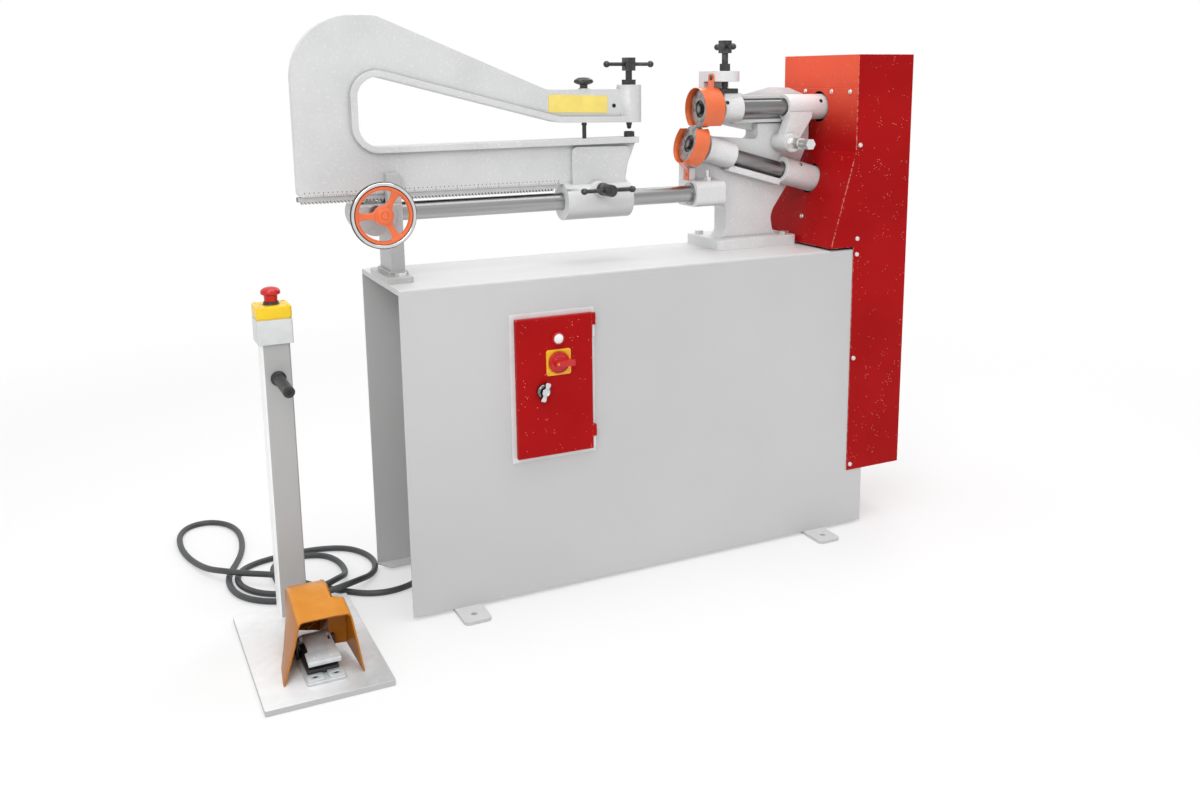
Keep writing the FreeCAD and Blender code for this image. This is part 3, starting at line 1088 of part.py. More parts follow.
hub = turned([
    ("pinion_shaft", "0"), ("hub_r", "0"), ("hub_r", "hub_len - 4"), ("hub_r - 4", "hub_len"), ("pinion_shaft", "hub_len"),
], ("pinion_x", "hand_y + 18", PINION_Z), "-y")
ring = less(rod("hand_r - 5", "9", ("pinion_x", "hand_y - 4.5", PINION_Z), "y"),
            rod("hand_r - 11", "11", ("pinion_x", "hand_y - 5.5", PINION_Z), "y"))
spokes = []
for angle in (180, 60, -60):
    spoke = doc.addObject("Part::Box", "Spoke")
    tie(spoke, Length="hand_r - hub_r + 0", Width="9", Height="16")
    across = math.radians(angle)
    spoke.Placement = FreeCAD.Placement(V(), FreeCAD.Rotation(V(0, 1, 0), -angle))
    start = "(hub_r - 4)*%s" % round(math.cos(across), 6)
    rise = "(hub_r - 4)*%s" % round(math.sin(across), 6)
    spoke.setExpression("Placement.Base.x", bound("pinion_x + %s + 8*%s" % (start, round(math.sin(across), 6))))
    spoke.setExpression("Placement.Base.y", bound("hand_y - 4.5"))
    spoke.setExpression("Placement.Base.z", bound("%s + %s - 8*%s" % (PINION_Z, rise, round(math.cos(across), 6))))
    spokes.append(spoke)
keep("handwheel", fused(hub, ring, hoop("hand_r", "rim_r", ("pinion_x", "hand_y", PINION_Z), "y"), *spokes))

# Sliding centre frame: deep-throated frame on a collar, with the centre clamp, anvil and stay screw.

frame_web = slab("XZ_Plane", [
    ("frame_left", "rack_top", "12"), ("frame_left", "frame_high", "135"), ("throat_left + 40", "frame_high", "60"),
    ("collar_left - 38", "arm_top", "60"), ("frame_right + 1", "arm_top"), ("frame_right + 1", "throat_top"),
    ("collar_left - 13", "throat_top", "60"), ("throat_left", "throat_top + 124", "42"),
    ("throat_left", "throat_low - 17", "42"), ("frame_right - 1", "throat_low"), ("frame_right - 1", "throat_low - 7"),
    ("frame_right - 24", "throat_low - 60", "60"), ("frame_right - 34", "rack_top"),
], "-frame_half", "frame_half")
throat = [
    ("frame_right + 30", "throat_top"), ("collar_left - 13", "throat_top", "60"),
    ("throat_left", "throat_top + 124", "42"), ("throat_left", "throat_low - 17", "42"),
    ("frame_right + 30", "throat_low + 0.8"),
]
rim_outer = slab("XZ_Plane", [
    ("frame_right + 1", "throat_top + rim_t"), ("collar_left - 11", "throat_top + rim_t", "46"),
    ("throat_left - rim_t", "throat_top + 124 + rim_t*1.31", "56"),
    ("throat_left - rim_t", "throat_low - 17 - rim_t*1.03", "56"), ("frame_right - 1", "throat_low - rim_t"),
    ("frame_right - 1", "throat_low - 1"), ("frame_right + 1", "throat_low - 1"),
], "-rim_half", "rim_half")
throat_room = slab("XZ_Plane", throat, "-rim_half - 1", "rim_half + 1")
collar_tube = rod("collar_r", "collar_len", ("collar_left", "0", "bar_z"), "x")
saddle = slab("XZ_Plane", [
    ("collar_left + 21", "bar_z + 20"), ("collar_left + collar_len - 4", "bar_z + 20"),
    ("frame_right - 36", "throat_low - 90"), ("clamp_x - 2", "throat_low - 22", "14"),
    ("collar_left + 21", "throat_low - 22", "14"),
], "-20", "20")
clamp_boss = rod("clamp_boss_r", "clamp_boss_top - throat_top", ("clamp_x", "0", "throat_top"))
tee_boss = rod("tee_boss_r", "45", ("tee_x", "-55", "tee_z"), "y")
stay_boss = rod("14", "8", ("stay_x", "0", "arm_top - 6"))
keep("c_frame", less(
    fused(frame_web, less(rim_outer, throat_room), collar_tube, saddle, clamp_boss, tee_boss, stay_boss),
    rod("guide_r + slide_gap", "collar_len + 2", ("collar_left - 1", "0", "bar_z"), "x"),
    rod("screw_r + run_gap", "clamp_boss_top - throat_top + 2", ("clamp_x", "0", "throat_top - 1")),
    rod("anvil_r", "20", ("clamp_x", "0", "throat_low - 5")),
    rod("stay_r + run_gap", "arm_top - throat_top + 20", ("stay_x", "0", "throat_top - 6")),
    rod("tee_r + run_gap", "53", ("tee_x", "-56", "tee_z"), "y"),
))

keep("anvil", turned([
    ("0", "0"), ("anvil_r", "0"), ("anvil_r", "anvil_tall + 4"), ("anvil_r - 2", "anvil_tall + 6"), ("0", "anvil_tall + 6"),
], ("clamp_x", "0", "throat_low - 5")))
keep("spindle_nut", less(hexagon("spindle_nut_r", "spindle_nut_t", ("clamp_x", "0", "clamp_boss_top")),
                         rod("screw_r + run_gap", "spindle_nut_t + 2", ("clamp_x", "0", "clamp_boss_top - 1"))))
keep("clamp_point", turned([
    ("0", "point_tip"), ("2", "point_tip"), ("screw_r", "point_tip + 10"), ("screw_r", "point_top"), ("0", "point_top"),
], ("clamp_x", "0", "0")))
SPINDLE_BAR_Z = "clamp_head_z + head_tall/2"
keep("clamp_spindle", less(
    fused(rod("screw_r", "clamp_head_z - point_top + 0.7", ("clamp_x", "0", "point_top + 0.3")),
          softened(block(("clamp_x - head_side/2", "-head_side/2", "clamp_head_z"), ("head_side", "head_side", "head_tall")),
                   "5", lambda middle: abs(middle.z - num(SPINDLE_BAR_Z)) < 0.1 and abs(middle.y) > num("head_side") / 2 - 0.1)),
    rod("bar_r + run_gap", "head_side + 2", ("clamp_x - head_side/2 - 1", "0", SPINDLE_BAR_Z), "x"),
))
keep("clamp_bar", tommy_bar("clamp_bar_len", "clamp_x", "0", SPINDLE_BAR_Z, "x"))

STAY_KNOB = "arm_top + 2.3"
stay_head = turned([
    ("0", "0"), ("9.3", "0"), ("9.3", "8"), ("stay_knob_r - 5", "11", "2"), ("stay_knob_r", "15", "2"),
    ("stay_knob_r - 2", "20", "3"), ("stay_knob_r - 11", "25", "4"), ("0", "26"),
], ("stay_x", "0", STAY_KNOB))
flutes = []
for index in range(6):
    turn = math.radians(60 * index)
    reach = round(math.cos(turn), 5), round(math.sin(turn), 5)
    flutes.append(rod("6", "22", ("stay_x + (stay_knob_r + 3)*%s" % reach[0], "(stay_knob_r + 3)*%s" % reach[1],
                                  STAY_KNOB + " + 7")))
keep("stay_screw", fused(
    rod("stay_r", "%s - throat_low + 6.5" % STAY_KNOB, ("stay_x", "0", "throat_low - 1.5")), less(stay_head, *flutes)))

keep("collar_screw", less(
    fused(rod("tee_r", "-tee_y - 8", ("tee_x", "tee_y", "tee_z"), "y"), rod("11", "22", ("tee_x", "tee_y - 11", "tee_z"), "y")),
    rod("bar_r + run_gap", "24", ("tee_x - 12", "tee_y", "tee_z"), "x"),
))
keep("collar_bar", tommy_bar("collar_bar_len", "tee_x", "tee_y", "tee_z", "x"))

# Foot switch station: plate, post, stop box, grip, guard and pedal. It stands beside the machine.

TUBE_X = "tube_left + tube_side/2"
stand_plate = slab("XY_Plane", [
    ("stand_left", "stand_front", "4"), ("stand_left + stand_w", "stand_front", "4"),
    ("stand_left + stand_w", "stand_front + stand_dep", "4"), ("stand_left", "stand_front + stand_dep", "4"),
], "0", "stand_t")
tube = softened(block(("tube_left", "-tube_side/2", "stand_t"), ("tube_side", "tube_side", "tube_top - stand_t")),
                "5", lambda middle: abs(middle.z - num("stand_t + tube_top") / 2) < 0.1)
tube_room = block(("tube_left + tube_wall", "-tube_side/2 + tube_wall", "stand_t"),
                  ("tube_side - 2*tube_wall", "tube_side - 2*tube_wall", "tube_top - stand_t - 4"))
wire_way = rod("cord_r + 3", "tube_wall + 2", (TUBE_X, "tube_side/2 - tube_wall - 1", "40"), "y")
top_way = rod("9", "6", (TUBE_X, "0", "tube_top - 5"))
keep("station_stand", less(fused(stand_plate, tube), tube_room, wire_way, top_way))

CASE_X = TUBE_X + " - case_side/2"
INNER = "case_side - 2*case_wall"
case = softened(block((CASE_X, "-case_side/2", "tube_top"), ("case_side", "case_side", "case_base")),
                "4", lambda middle: abs(middle.z - num("tube_top + case_base/2")) < 0.1)
keep("stop_box", less(
    case,
    block((CASE_X + " + case_wall", "-case_side/2 + case_wall", "tube_top + case_wall"), (INNER, INNER, "case_base")),
    rod("9", "6", (TUBE_X, "0", "tube_top - 1")),
))
LID_Z = "tube_top + case_base"
LID_TOP = LID_Z + " + case_lid"
lid = softened(block((CASE_X, "-case_side/2", LID_Z), ("case_side", "case_side", "case_lid")),
               "4", lambda middle: abs(middle.z - num(LID_Z + " + case_lid/2")) < 0.1)
lid_neck = turned([
    ("0", "-2"), ("stop_neck + 2", "-2"), ("stop_neck + 2", "2"), ("stop_neck", "3"),
    ("stop_neck", "stop_neck_tall"), ("0", "stop_neck_tall"),
], (TUBE_X, "0", LID_TOP))
keep("stop_box_lid", less(
    fused(less(lid, block((CASE_X + " + case_wall", "-case_side/2 + case_wall", LID_Z + " - 1"), (INNER, INNER, "case_lid - case_wall + 1"))),
          lid_neck),
    rod("10.4", "stop_neck_tall + 10", (TUBE_X, "0", LID_TOP + " - 5")),
))
CAP_Z = LID_TOP + " + stop_neck_tall + stop_gap"
keep("stop_button", turned([
    ("0", "-stop_neck_tall - 12"), ("10", "-stop_neck_tall - 12"), ("10", "0"), ("stop_r - 3", "0"), ("stop_r", "3", "1.5"),
    ("stop_r", "stop_tall - 7", "3"), ("stop_r - 6", "stop_tall - 2", "4"), ("0", "stop_tall"),
], (TUBE_X, "0", CAP_Z)))
keep("grip", turned([
    ("0", "0"), ("grip_r + 4", "0"), ("grip_r + 4", "4"), ("grip_r", "8"), ("grip_r", "grip_len - 6", "5"),
    ("grip_r - 5", "grip_len", "2"), ("0", "grip_len"),
], (TUBE_X, "-tube_side/2", "grip_z"), "-y"))


def wedge(left, right, top_left, top_right, back, front, top_front, low, high):
    """A hood: one rectangle at the low height, a smaller one at the high height."""
    thing = doc.addObject("Part::Wedge", "Hood")
    tie(thing, Xmin=left, Xmax=right, X2min=top_left, X2max=top_right, Ymin=low, Ymax=high,
        Zmin="-(%s)" % back, Zmax="-(%s)" % front, Z2min="-(%s)" % back, Z2max="-(%s)" % top_front)
    thing.Placement = FreeCAD.Placement(V(), FreeCAD.Rotation(V(1, 0, 0), 90))
    return thing


hood = wedge("guard_left", "guard_left + guard_w", "roof_left", "roof_left + roof_w",
             "guard_back", "guard_front_y", "roof_front", "stand_t", "roof_z")
hood_room = wedge("guard_left + guard_wall", "guard_left + guard_w - guard_wall", "roof_left + guard_wall",
                  "roof_left + roof_w - guard_wall", "guard_back - guard_wall", "guard_front_y - 60", "guard_front_y - 60",
                  "stand_t", "roof_z - guard_wall")
sole = less(
    block(("guard_left", "guard_front_y", "stand_t"), ("guard_w", "guard_back - guard_front_y", "5")),
    block(("pedal_left - 8", "guard_front_y - 1", "stand_t - 1"),
          ("pedal_w + 16", "guard_back - guard_front_y - guard_wall + 1", "7")))
neck = slab("YZ_Plane", [
    ("guard_back - 44", "stand_t"), ("guard_back - 44", "roof_z + 6"), ("guard_back", "roof_z + 19", "14"),
    ("guard_back + 66", "roof_z - 10", "20"), ("guard_back + 66", "stand_t"),
], "roof_left - 3", "roof_left + 74")
neck_room = slab("YZ_Plane", [
    ("guard_back - 41", "stand_t"), ("guard_back - 41", "roof_z + 3.7"), ("guard_back - 0.5", "roof_z + 15.8", "11"),
    ("guard_back + 63", "roof_z - 12", "17"), ("guard_back + 63", "stand_t"),
], "roof_left", "roof_left + 71")
keep("pedal_guard", fused(less(fused(hood, neck), hood_room, neck_room), sole))

PEDAL_Y = "pedal_front + pedal_dep - 8"
PEDAL_MID = "pedal_left + pedal_w/2"
bed = block(("pedal_left", "pedal_front + 12", "stand_t"), ("pedal_w", "pedal_dep - 12", "6"))
switch_body = block(("pedal_left + 8", "pedal_front + 76", "stand_t + 5"), ("pedal_w - 16", "44", "20"))
cheeks = [slab("YZ_Plane", [
    ("pedal_front + pedal_dep - 30", "stand_t + 4"), ("pedal_front + pedal_dep - 0.5", "stand_t + 4"),
    ("pedal_front + pedal_dep - 0.5", "pedal_z + 7", "7"), ("pedal_front + pedal_dep - 20", "pedal_z + 7", "7"),
], "pedal_left + %d" % side, "pedal_left + %d" % (side + 5)) for side in (0, 75)]
hinge_rod = rod("pedal_pin", "pedal_w - 4", ("pedal_left + 2", PEDAL_Y, "pedal_z"), "x")
keep("pedal_base", fused(bed, switch_body, hinge_rod, *cheeks))
tread = slab("YZ_Plane", [
    ("pedal_front + 38", "pedal_z - 7"), ("pedal_front + 38", "pedal_z - 1", "2.5"), ("pedal_front + 46", "pedal_z + 2.5", "6"),
    (PEDAL_Y, "pedal_z + 7", "3"), (PEDAL_Y + " + 5.5", "pedal_z + 7", "3"), (PEDAL_Y + " + 5.5", "pedal_z - 7", "3"),
    (PEDAL_Y + " - 9", "pedal_z - 7", "3"), ("pedal_front + 48", "pedal_z - 2.5"),
], "pedal_left + 6", "pedal_left + pedal_w - 6")
keep("pedal", less(tread, rod("pedal_pin + run_gap", "pedal_w", ("pedal_left", PEDAL_Y, "pedal_z"), "x")))

# Control cord from the post's foot over the floor into the cabinet, with a gland at each end. The
# points are corners of straight runs in millimetres; every corner is rounded by a tangent arc.

GLAND_LONG = 14
START_Y = num("tube_side/2") + GLAND_LONG
END_X = num(BOX_LEFT) - GLAND_LONG
END_Y = num(GLAND_Y)
END_Z = num(GLAND_Z)
FLOOR = num("cord_r")
OVER = 3 * FLOOR + 3
CORD = [
    (num(TUBE_X), START_Y, 40), (num(TUBE_X), START_Y + 40, 40), (-849, 122, 15), (-851, 160, FLOOR),
    (-853, 224, FLOOR), (-846, 272, FLOOR), (-810, 300, FLOOR), (-758, 298, FLOOR), (-716, 276, FLOOR),
    (-695, 230, FLOOR), (-690, 178, FLOOR), (-698, 130, FLOOR + 5), (-718, 92, OVER), (-757, 66, OVER),
    (-806, 72, FLOOR + 6), (-864, 104, FLOOR), (-908, 138, FLOOR), (-934, 188, FLOOR), (-937, 240, FLOOR),
    (-919, 284, FLOOR), (-880, 310, FLOOR), (-832, 322, FLOOR), (-778, 328, FLOOR), (-720, 324, FLOOR),
    (-662, 302, FLOOR), (-628, 256, FLOOR), (-612, 196, FLOOR), (-621, 140, FLOOR), (-645, 94, FLOOR + 6),
    (-682, 56, OVER), (-730, 37, OVER), (-790, 42, FLOOR + 6), (-852, 58, FLOOR), (-908, 88, FLOOR),
    (-946, 138, FLOOR), (-959, 202, FLOOR), (-952, 268, FLOOR), (-924, 332, FLOOR), (-902, 400, FLOOR),
    (-891, 476, FLOOR), (-892, 552, FLOOR), (-914, 614, FLOOR), (-958, 649, FLOOR), (-1008, 638, FLOOR),
    (-1036, 586, FLOOR), (-1041, 508, FLOOR), (-1033, 436, FLOOR), (-1014, 368, FLOOR + 1),
    (-992, 304, FLOOR + 9), (-962, 256, OVER), (-922, 221, OVER), (-880, 192, OVER + 1), (-836, 160, OVER + 1),
    (-796, 124, FLOOR + 5), (-757, 90, FLOOR), (-714, 44, FLOOR), (-672, 9, FLOOR), (-622, -4, FLOOR),
    (-566, 8, FLOOR + 1), (-520, 4, 34), (-491, -8, 90), (-482, -25, 155), (-478, -45, 225), (-468, -62, 290),
    (-454, -70, 340), (END_X - 57, END_Y, END_Z - 7), (END_X - 24, END_Y, END_Z), (END_X, END_Y, END_Z),
]


def rounded_run(corners):
    """Straight runs joined by tangent arcs, as one wire, with the least radius."""
    points = [V(*corner) for corner in corners]
    parts = []
    tightest = 1e9
    here = points[0]
    for before, corner, after in zip(points, points[1:], points[2:]):
        back = (before - corner).normalize()
        ahead = (after - corner).normalize()
        turn = math.pi - back.getAngle(ahead)
        shorter = min(before.distanceToPoint(corner), after.distanceToPoint(corner))
        cut = 0.45 * shorter
        tightest = min(tightest, cut / math.tan(turn / 2))
        first = corner + back * cut
        last = corner + ahead * cut
        inner = (back + ahead).normalize()
        radius = cut / math.tan(turn / 2)
        middle = corner + inner * (radius / math.cos(turn / 2) - radius)
        parts.append(Part.LineSegment(here, first).toShape())
        parts.append(Part.Arc(first, middle, last).toShape())
        here = last
    parts.append(Part.LineSegment(here, points[-1]).toShape())
    return Part.Wire(parts), tightest


spine, tightest = rounded_run(CORD)
ring = Part.Wire([Part.Circle(V(*CORD[0]), V(*CORD[1]) - V(*CORD[0]), FLOOR).toShape()])
cord_shape = spine.makePipeShell([ring], True, False)
keep("control_cord", made("Cord", cord_shape))
spots = spine.discretize(Distance=6.0)
apart = min(one.distanceToPoint(other) for index, one in enumerate(spots) for other in spots[index + 16:])
print("cord: length %.0f, tightest radius %.1f, own gap %.1f" % (spine.Length, tightest, apart - 2 * FLOOR))
print("cord: volume %.0f, section by length %.0f" % (cord_shape.Volume, math.pi * FLOOR ** 2 * spine.Length))


def gland(at, inward, along, back_along):
    """A gland's hexagon outside a wall, its thread through the wall and its nut inside."""
    return fused(hexagon("cord_r + 7", str(GLAND_LONG), at, along), rod("cord_r + 3", inward, at, back_along))


post_gland = gland((TUBE_X, "tube_side/2", "40"), "tube_wall + 8", "y", "-y")
post_nut = hexagon("cord_r + 8", "4", (TUBE_X, "tube_side/2 - tube_wall", "40"), "-y")
box_gland = gland((BOX_LEFT, GLAND_Y, GLAND_Z), "door_skin + 8", "-x", "x")
box_nut = hexagon("cord_r + 8", "4", (BOX_LEFT + " + door_skin", GLAND_Y, GLAND_Z), "x")
keep("cord_glands", fused(post_gland, post_nut, box_gland, box_nut))

# Every object has to be sound before a file is written.

doc.recompute()
for thing in doc.Objects:
    if "Invalid" in thing.State or "Error" in thing.State:
        raise RuntimeError("%s (%s) didn't build" % (thing.Label, thing.Name))
for thing in kept:
    if thing.Shape.isNull() or not thing.Shape.isValid() or not thing.Shape.Solids:
        raise RuntimeError("%s has no sound shape" % thing.Label)
for thing in kept:
    thing.Shape.exportStep("parts/%s.step" % thing.Label)
print("sub-parts:", len(kept))
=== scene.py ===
import math

import bpy
from mathutils import Matrix, Vector


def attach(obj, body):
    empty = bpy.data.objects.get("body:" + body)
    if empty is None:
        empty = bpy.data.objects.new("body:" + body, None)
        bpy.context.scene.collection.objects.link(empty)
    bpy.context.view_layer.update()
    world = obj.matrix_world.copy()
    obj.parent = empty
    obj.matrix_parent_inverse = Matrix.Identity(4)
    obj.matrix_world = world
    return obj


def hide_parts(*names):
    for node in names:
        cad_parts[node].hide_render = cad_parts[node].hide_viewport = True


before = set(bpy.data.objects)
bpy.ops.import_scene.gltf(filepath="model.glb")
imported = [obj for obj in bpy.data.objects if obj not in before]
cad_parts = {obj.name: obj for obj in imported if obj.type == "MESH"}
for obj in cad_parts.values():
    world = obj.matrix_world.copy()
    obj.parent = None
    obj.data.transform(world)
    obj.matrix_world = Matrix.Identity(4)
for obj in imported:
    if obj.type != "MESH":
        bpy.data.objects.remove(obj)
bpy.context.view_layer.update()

scene = bpy.context.scene

# Places on the machine that several pieces share, in metres
DOOR_FRONT = -0.1795
PLATE_TOP = 0.012
WHEEL = Vector((-0.624, -0.12, 0.9145))
LAMP = Vector((-0.255, DOOR_FRONT, 0.619))
SWITCH = Vector((-0.255, DOOR_FRONT, 0.564))
LATCH = Vector((-0.293, DOOR_FRONT, 0.5))
STOP = (-0.848, 0.0, 0.724)
PEDAL_PIN = (-0.844, -0.228, 0.052)

# Corners closer than this become one
MERGE = 0.00002


def placed(name, data):
    """A new object in the scene."""
    piece = bpy.data.objects.new(name, data)
    scene.collection.objects.link(piece)
    return piece


# Camera, at the photograph's place

def aim_camera():
    place = (-1.22375, -2.474, 1.202)
    yaw, down, roll = (math.radians(degrees) for degrees in (26.61, 11.25, -0.39))
    ahead = Vector((
        math.sin(yaw) * math.cos(down), math.cos(yaw) * math.cos(down), -math.sin(down)))
    right = Vector((math.cos(yaw), -math.sin(yaw), 0))
    up = right.cross(ahead)
    right, up = (
        math.cos(roll) * right + math.sin(roll) * up, math.cos(roll) * up - math.sin(roll) * right)
    lens = bpy.data.cameras.new("Camera")
    lens.sensor_width = 36
    lens.lens = 33.735
    lens.shift_x = -0.0239
    lens.shift_y = -0.0838
    lens.clip_end = 60
    camera = placed("Camera", lens)
    turn = Matrix((right, up, -ahead)).transposed().to_4x4()
    camera.matrix_world = Matrix.Translation(place) @ turn
    scene.camera = camera


aim_camera()


# Materials: classes for a number that changes over the surface, a node tree and a finish

def maths(operation, swapped=False):
    """A method that puts a number, and the one it is joined with, through a Math node."""
    def method(self, other=0.0):
        first, second = (other, self) if swapped else (self, other)
        return self.nodes.node("ShaderNodeMath", {"operation": operation}, {0: first, 1: second})

    return method


class Amount:
    """A socket with a number on it; sums and products with it add Math nodes."""

    def __init__(self, nodes, socket):
        self.nodes = nodes
        self.socket = socket

    __add__ = __radd__ = maths("ADD")
    __sub__ = maths("SUBTRACT")
    __rsub__ = maths("SUBTRACT", swapped=True)
    __mul__ = __rmul__ = maths("MULTIPLY")
    __truediv__ = maths("DIVIDE")
    __gt__ = maths("GREATER_THAN")
    __lt__ = maths("LESS_THAN")
    root = maths("SQRT")
    size = maths("ABSOLUTE")
    fraction = maths("FRACT")

    def over(self, low, high):
        """0 below low, 1 above high, and smooth between them."""
        return self.nodes.node(
            "ShaderNodeMapRange", {"interpolation_type": "SMOOTHSTEP"},
            {"Value": self, "From Min": low, "From Max": high})


class Nodes:
    """A node tree, and the ways to add to it."""

    def __init__(self, tree):
        self.tree = tree

    def node(self, kind, settings=None, inputs=None, output=0):
        node = self.tree.nodes.new(kind)
        for name, value in (settings or {}).items():
            setattr(node, name, value)
        for name, value in (inputs or {}).items():
            self.feed(node.inputs[name], value)
        return Amount(self, node.outputs[output])

    def feed(self, socket, value):
        if isinstance(value, Amount):
            self.tree.links.new(value.socket, socket)
        elif isinstance(value, tuple) and len(socket.default_value) == 4:
            socket.default_value = (*value, 1)[:4]
        else:
            socket.default_value = value

    def direct(self):
        """1 for rays from the camera, a mirror or glass, 0 for all others."""
        camera, glossy, transmission = (
            self.node("ShaderNodeLightPath", output="Is %s Ray" % kind)
            for kind in ("Camera", "Glossy", "Transmission"))
        return camera + glossy + transmission


class Paint(Nodes):
    """A finish: a Principled shader, and whatever nodes its sockets need.

    Soft is the width over which edges catch the light, as paint or a broken edge does.
    """

    def __init__(self, name, colour, rough, metal=0.0, coat=0.0, coat_rough=0.1, soft=0.0):
        self.material = bpy.data.materials.new(name)
        self.material.use_nodes = True
        super().__init__(self.material.node_tree)
        self.shader = self.tree.nodes["Principled BSDF"]
        self.colour = colour
        for socket, value in (
                ("Base Color", colour), ("Roughness", rough), ("Metallic", metal),
                ("Coat Weight", coat), ("Coat Roughness", coat_rough)):
            self.set(socket, value)
        self.place = self.node("ShaderNodeTexCoord", output="Object")
        self.bumps = None
        if soft:
            self.bumps = self.node("ShaderNodeBevel", {"samples": 6}, {"Radius": soft}, "Normal")
            self.set("Normal", self.bumps)

    def set(self, name, value):
        self.feed(self.shader.inputs[name], value)

    def noise(self, size, detail=2.0, stretch=(1, 1, 1), rough=0.5):
        """Noise from 0 to 1 whose blots are about that many metres wide."""
        where = self.node("ShaderNodeMapping", {}, {"Vector": self.place, "Scale": stretch})
        return self.node(
            "ShaderNodeTexNoise", {},
            {"Vector": where, "Scale": 1 / size, "Detail": detail, "Roughness": rough}, "Fac")

    def clouds(self, size, detail=2.0):
        """Noise drawn out to soft blots of 0 and 1."""
        return self.noise(size, detail).over(0.3, 0.7)

    def cells(self, size, output="Distance"):
        inputs = {"Vector": self.place, "Scale": 1 / size}
        return self.node("ShaderNodeTexVoronoi", {}, inputs, output)

    def split(self, vector):
        """The x, y and z of a vector as numbers."""
        parts = self.node("ShaderNodeSeparateXYZ", {}, {0: vector}).socket.node
        return [Amount(self, socket) for socket in parts.outputs]

    def axes(self):
        """Where a point of the surface is, in the piece's own x, y and z."""
        return self.split(self.place)

    def facing(self):
        """The x, y and z of the surface's direction."""
        return self.split(self.node("ShaderNodeNewGeometry", output="Normal"))

    def mix(self, amount, first, second):
        """The first colour where the amount is 0, the second where it is 1."""
        inputs = {"Factor": amount, 6: first, 7: second}
        return self.node("ShaderNodeMix", {"data_type": "RGBA"}, inputs, 2)

    def tint(self, amount, first, second):
        self.set("Base Color", self.mix(amount, first, second))

    def bump(self, height, strength, depth):
        """Adds relief; depth is in metres."""
        inputs = {"Height": height, "Strength": strength, "Distance": depth}
        if self.bumps:
            inputs["Normal"] = self.bumps
        self.bumps = self.node("ShaderNodeBump", {}, inputs, "Normal")
        self.set("Normal", self.bumps)

    def edges(self, radius):
        """1 along edges, 0 on flat faces."""
        smooth = self.node("ShaderNodeBevel", {"samples": 6}, {"Radius": radius}, "Normal")
        plain = self.node("ShaderNodeNewGeometry", output="Normal")
        same = self.node(
            "ShaderNodeVectorMath", {"operation": "DOT_PRODUCT"}, {0: smooth, 1: plain}, "Value")
        return same.over(0.985, 0.9)

    def crease_shade(self, reach):
        """Occlusion for painted shade: 1 in hollow corners, 0 in the open."""
        settings = {"samples": 8, "only_local": True}
        light = self.node("ShaderNodeAmbientOcclusion", settings, {"Distance": reach}, "AO")
        return light.over(0.8, 0.45)


def grey(level):
    return (level, level, level)


def shade(colour, factor):
    return tuple(min(1.0, part * factor) for part in colour)


def varied(paint, size, amount):
    """A slow change of tone over the surface."""
    darker, lighter = shade(paint.colour, 1 - amount), shade(paint.colour, 1 + amount / 2)
    paint.tint(paint.clouds(size), darker, lighter)


def sheet_grey():
    paint = Paint(
        "GreyPowderCoat", (0.56, 0.562, 0.563), rough=0.42, coat=0.1, coat_rough=0.25, soft=0.0012)
    edge_sheen_and_wear = paint.edges(0.0012)
    tone = paint.clouds(0.5)
    face = paint.mix(tone, (0.55, 0.552, 0.553), (0.585, 0.587, 0.588))
    upward = paint.facing()[2]
    # Painted light: faces that look up are painted lighter grey.
    above = paint.mix(upward.over(0.8, 0.95) * 0.7, face, grey(0.74))
    # Painted highlight: edges are painted a lighter grey.
    paint.tint(edge_sheen_and_wear * 0.5, above, grey(0.8))
    paint.bump(paint.noise(0.0022), 0.12, 0.0004)
    paint.set("Roughness", 0.38 + paint.noise(0.05, 3.0) * 0.1)
    return paint


def casting_grey(name="GreyCastingPaint", depth=1.0):
    """Thick grey paint over a cast skin: fine grain, painted shade below and in hollow corners,
    painted highlights on edges.
    """
    paint = Paint(name, (0.66, 0.665, 0.668), rough=0.36, coat=0.1, coat_rough=0.22, soft=0.003)
    edge_sheen_and_wear = paint.edges(0.0022)
    crease_shade = paint.crease_shade(0.016)
    upward = paint.facing()[2]
    tone = paint.clouds(0.12)
    grain = paint.noise(0.006, 3.0, rough=0.65)
    # Depth makes lighter and darker painted copies of one paint: painted light and shade.
    skin = paint.mix(tone, shade((0.655, 0.66, 0.663), depth), shade((0.71, 0.714, 0.718), depth))
    speckled = paint.mix(grain.over(0.55, 0.68) * 0.5, skin, shade(grey(0.86), depth))
    # Painted shade: faces that look down are painted darker.
    below = paint.mix(upward.over(-0.3, -0.9) * 0.6, speckled, grey(0.3))
    # Painted shade: hollow corners are painted darker.
    shaded = paint.mix(crease_shade * 0.55, below, grey(0.22))
    # Painted highlight: edges are painted near white.
    paint.tint(edge_sheen_and_wear * 0.7, shaded, grey(0.9))
    paint.bump(paint.noise(0.02), 0.4, 0.0012)
    paint.bump(grain, 0.5, 0.0009)
    paint.set("Roughness", 0.3 + paint.noise(0.03, 3.0) * 0.14)
    return paint


